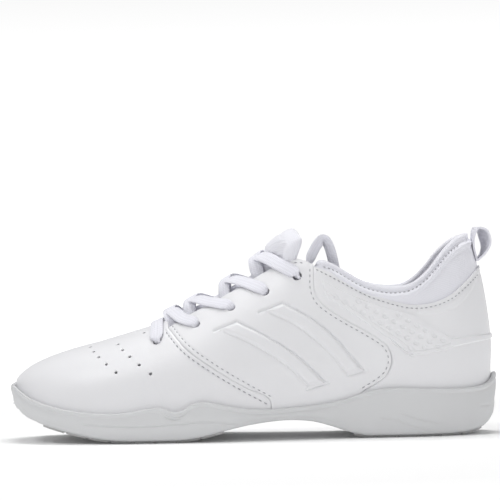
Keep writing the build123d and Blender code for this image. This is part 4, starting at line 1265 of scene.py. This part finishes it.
def build_stitches(side):
    """Every visible stitch of one side: short plump threads that dive in at both ends."""
    rows = [(line, 3.2, -0.12) for line in VAMP_SIDE + SADDLE_SIDE + SADDLE_REAR + SADDLE_TOP]
    rows += [(line, 2.6, -0.12) for line in TOPLINE]
    rows.append(([(x, float(collar_top(x)) - 2.9) for x in range(38, 119, 4)], 2.4, 0.95))
    bm = bmesh.new()
    for line, pitch, depth in rows:
        for start, end, outward in stitch_line(line, pitch, side, depth):
            way = end - start
            length = np.linalg.norm(way)
            turn = Matrix((way / length, outward, np.cross(way / length, outward))).transposed()
            made = bmesh.ops.create_icosphere(bm, subdivisions=1, radius=1.0)
            middle = (start + end) / 2
            for vert in made["verts"]:
                x, y, z = vert.co
                local = Vector((x * length / 2, (y * 0.26 - 0.22 * x * x), z * 0.3))
                vert.co = (Vector(middle) + turn @ local) * MM
    bmesh.ops.recalc_face_normals(bm, faces=bm.faces)
    uv = bm.loops.layers.uv.new("UVMap")
    for face in bm.faces:
        for loop in face.loops:
            loop[uv].uv = (loop.vert.co.x / MM, loop.vert.co.z / MM)
    return add_piece(f"stitching_{side}", bm, "thread", "shoe")


# ------------------------------------------------------------------ settings, operators and panel
class CheerShoeLooks(bpy.types.PropertyGroup):
    leather_colour: FloatVectorProperty(name="Leather", description="Colour of the upper's leather",
                                        subtype="COLOR", size=3, min=0, max=1, default=(0.8, 0.8, 0.82))
    sole_colour: FloatVectorProperty(name="Sole", description="Colour of the foam cup sole",
                                     subtype="COLOR", size=3, min=0, max=1, default=(0.655, 0.66, 0.67))
    tread_colour: FloatVectorProperty(name="Treads", description="Colour of the rubber treads",
                                      subtype="COLOR", size=3, min=0, max=1, default=(0.5, 0.5, 0.5))
    knit_colour: FloatVectorProperty(name="Knit", description="Colour of the collar and tongue",
                                     subtype="COLOR", size=3, min=0, max=1, default=(0.83, 0.83, 0.885))
    lining_colour: FloatVectorProperty(name="Lining", description="Colour of the lining cloth",
                                       subtype="COLOR", size=3, min=0, max=1, default=(0.84, 0.84, 0.9))
    lace_colour: FloatVectorProperty(name="Laces", description="Colour of the laces and the pull tab",
                                     subtype="COLOR", size=3, min=0, max=1, default=(0.82, 0.82, 0.885))
    # The stitching's grey is partly the thread and partly painted shade: darker than the light thread, so the
    # needle holes read as grey dots.
    thread_colour: FloatVectorProperty(name="Thread", description="Colour of the stitching",
                                       subtype="COLOR", size=3, min=0, max=1, default=(0.42, 0.42, 0.45))


class PieceOperator:
    bl_options = {"REGISTER"}

    def execute(self, context):
        if not self.make():
            raise RuntimeError(f"{self.bl_label} made nothing")
        return {"FINISHED"}


class MakeSole(PieceOperator, bpy.types.Operator):
    """Make the foam cup sole and the footbed"""
    bl_idname = "cheer_shoe.sole"
    bl_label = "Sole"

    def make(self):
        for node, slot in (("outsole_forefoot", "tread_rubber"), ("outsole_heel", "tread_rubber"),
                           ("arch_shank", "shank_plastic"), ("insole_board", "board"),
                           ("collar_foam", "padding")):
            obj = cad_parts[node]
            obj.data.materials.clear()
            obj.data.materials.append(finish(slot))
        return [build_midsole(), build_footbed()]


class MakeVamp(PieceOperator, bpy.types.Operator):
    """Make the vamp with its perforations and first eyelets"""
    bl_idname = "cheer_shoe.vamp"
    bl_label = "Vamp"

    def make(self):
        return build_vamp()


class MakeSides(PieceOperator, bpy.types.Operator):
    """Make the saddles, the rear quarters and the panels laid over them"""
    bl_idname = "cheer_shoe.sides"
    bl_label = "Side panels"

    def make(self):
        return [build(inner) for inner in (False, True)
                for build in (build_saddle, build_quarter, build_ankle_panel)] + [build_heel_strap()]


class MakeCollar(PieceOperator, bpy.types.Operator):
    """Make the knit collar, its lining and its rolled edge"""
    bl_idname = "cheer_shoe.collar"
    bl_label = "Collar"

    def make(self):
        return build_collar() + build_hidden_sheets()


class MakeTongue(PieceOperator, bpy.types.Operator):
    """Make the padded tongue"""
    bl_idname = "cheer_shoe.tongue"
    bl_label = "Tongue"

    def make(self):
        return build_tongue()


class MakePullTab(PieceOperator, bpy.types.Operator):
    """Make the loop of tape at the heel"""
    bl_idname = "cheer_shoe.pull_tab"
    bl_label = "Pull tab"

    def make(self):
        return build_pull_tab()


class MakeLaces(PieceOperator, bpy.types.Operator):
    """Make the lace, its free ends and their aglets"""
    bl_idname = "cheer_shoe.laces"
    bl_label = "Laces"

    def make(self):
        return [build_lace()] + build_lace_end("lateral") + build_lace_end("medial")


class MakeStitching(PieceOperator, bpy.types.Operator):
    """Make the rows of stitching"""
    bl_idname = "cheer_shoe.stitching"
    bl_label = "Stitching"

    def make(self):
        return [build_stitches("lateral"), build_stitches("medial")]


class MakeStage(PieceOperator, bpy.types.Operator):
    """Make the floor, the lights and the camera"""
    bl_idname = "cheer_shoe.stage"
    bl_label = "Stage"

    def make(self):
        scene = bpy.context.scene
        scene.view_settings.view_transform = "Standard"
        bm = bmesh.new()
        bmesh.ops.create_grid(bm, x_segments=1, y_segments=1, size=8.0)
        mesh = bpy.data.meshes.new("studio_floor")
        bm.to_mesh(mesh)
        bm.free()
        ground = bpy.data.objects.new("studio_floor", mesh)
        scene.collection.objects.link(ground)
        paper = Finish("studio_paper", 0.9, Emission_Strength=1.0)
        spot = paper.place()
        x, y = (paper.node("ShaderNodeSeparateXYZ", {}, [spot], k) for k in (0, 1))
        away = (((x * x + y * y) ** 0.5 - 0.3) * 1.3).held()
        fibres = paper.noise(40.0, 2.0)
        mesh.materials.append(paper.join(
            Base_Color=paper.blend(away, (0.95, 0.95, 0.95), (0.5, 0.5, 0.5)),
            Emission_Color=paper.blend(away, (0.02, 0.02, 0.02), (1, 1, 1)),
            Roughness=0.88 + fibres * 0.05))
        world = bpy.data.worlds.new("studio_air")
        world.use_nodes = True
        air = world.node_tree
        place = air.nodes.new("ShaderNodeTexCoord")
        height = air.nodes.new("ShaderNodeSeparateXYZ")
        glow = air.nodes.new("ShaderNodeMapRange")
        for key, value in ((1, 0.07), (2, 0.24), (3, 1.03), (4, 0.32)):
            glow.inputs[key].default_value = value
        air.links.new(place.outputs["Generated"], height.inputs[0])
        air.links.new(height.outputs[2], glow.inputs[0])
        air.links.new(glow.outputs[0], air.nodes["Background"].inputs[1])
        air.nodes["Background"].inputs[0].default_value = (1, 1, 1, 1)
        scene.world = world
        for name, place, size, power in (("key", (-0.8, -0.6, 1.3), 0.4, 5.8),
                                         ("top", (0.0, 0.3, 1.6), 0.8, 15.5),
                                         ("fill", (1.0, -1.2, 0.6), 0.9, 2.6)):
            lamp = bpy.data.lights.new(name, "AREA")
            lamp.size, lamp.energy = size, power
            holder = bpy.data.objects.new(name, lamp)
            holder.location = place
            holder.rotation_euler = (Vector((0, 0, 0.05)) - Vector(place)).to_track_quat("-Z", "Y").to_euler()
            scene.collection.objects.link(holder)
        lens = bpy.data.cameras.new("photo_camera")
        lens.lens, lens.clip_start, lens.clip_end = 199.5, 0.05, 50
        camera = bpy.data.objects.new("photo_camera", lens)
        scene.collection.objects.link(camera)
        tilt, roll = math.radians(4), math.radians(1.1)
        ahead, up = Vector((0, math.cos(tilt), -math.sin(tilt))), Vector((0, math.sin(tilt), math.cos(tilt)))
        camera.location = -1.5 * ahead
        aim = (1.5 * ahead + 0.1007 * up - Vector((0.00023, 0, 0))).normalized()
        upright = up * math.cos(roll) + Vector((math.sin(roll), 0, 0))
        side = aim.cross(upright).normalized()
        camera.rotation_euler = Matrix((side, side.cross(aim), -aim)).transposed().to_euler()
        scene.camera = camera
        return camera


class CheerShoePanel(bpy.types.Panel):
    """Lists the shoe's pieces and colours"""
    bl_idname = "VIEW3D_PT_cheer_shoe"
    bl_label = "Cheer shoe"
    bl_space_type = "VIEW_3D"
    bl_region_type = "UI"
    bl_category = "Cheer shoe"

    def draw(self, context):
        for key in CheerShoeLooks.__annotations__:
            self.layout.prop(context.scene.cheer_shoe_looks, key)
        for operator in OPERATORS:
            self.layout.operator(operator.bl_idname)


OPERATORS = (MakeSole, MakeVamp, MakeSides, MakeCollar, MakeTongue, MakePullTab, MakeLaces, MakeStitching,
             MakeStage)
CLASSES = (CheerShoeLooks, *OPERATORS, CheerShoePanel)


def register():
    for cls in CLASSES:
        bpy.utils.register_class(cls)
    bpy.types.Scene.cheer_shoe_looks = PointerProperty(type=CheerShoeLooks)


def unregister():
    del bpy.types.Scene.cheer_shoe_looks
    for cls in reversed(CLASSES):
        bpy.utils.unregister_class(cls)


def main():
    register()
    for operator in OPERATORS:
        getattr(bpy.ops.cheer_shoe, operator.bl_idname.split(".")[1])()


if __name__ == "__main__":
    main()
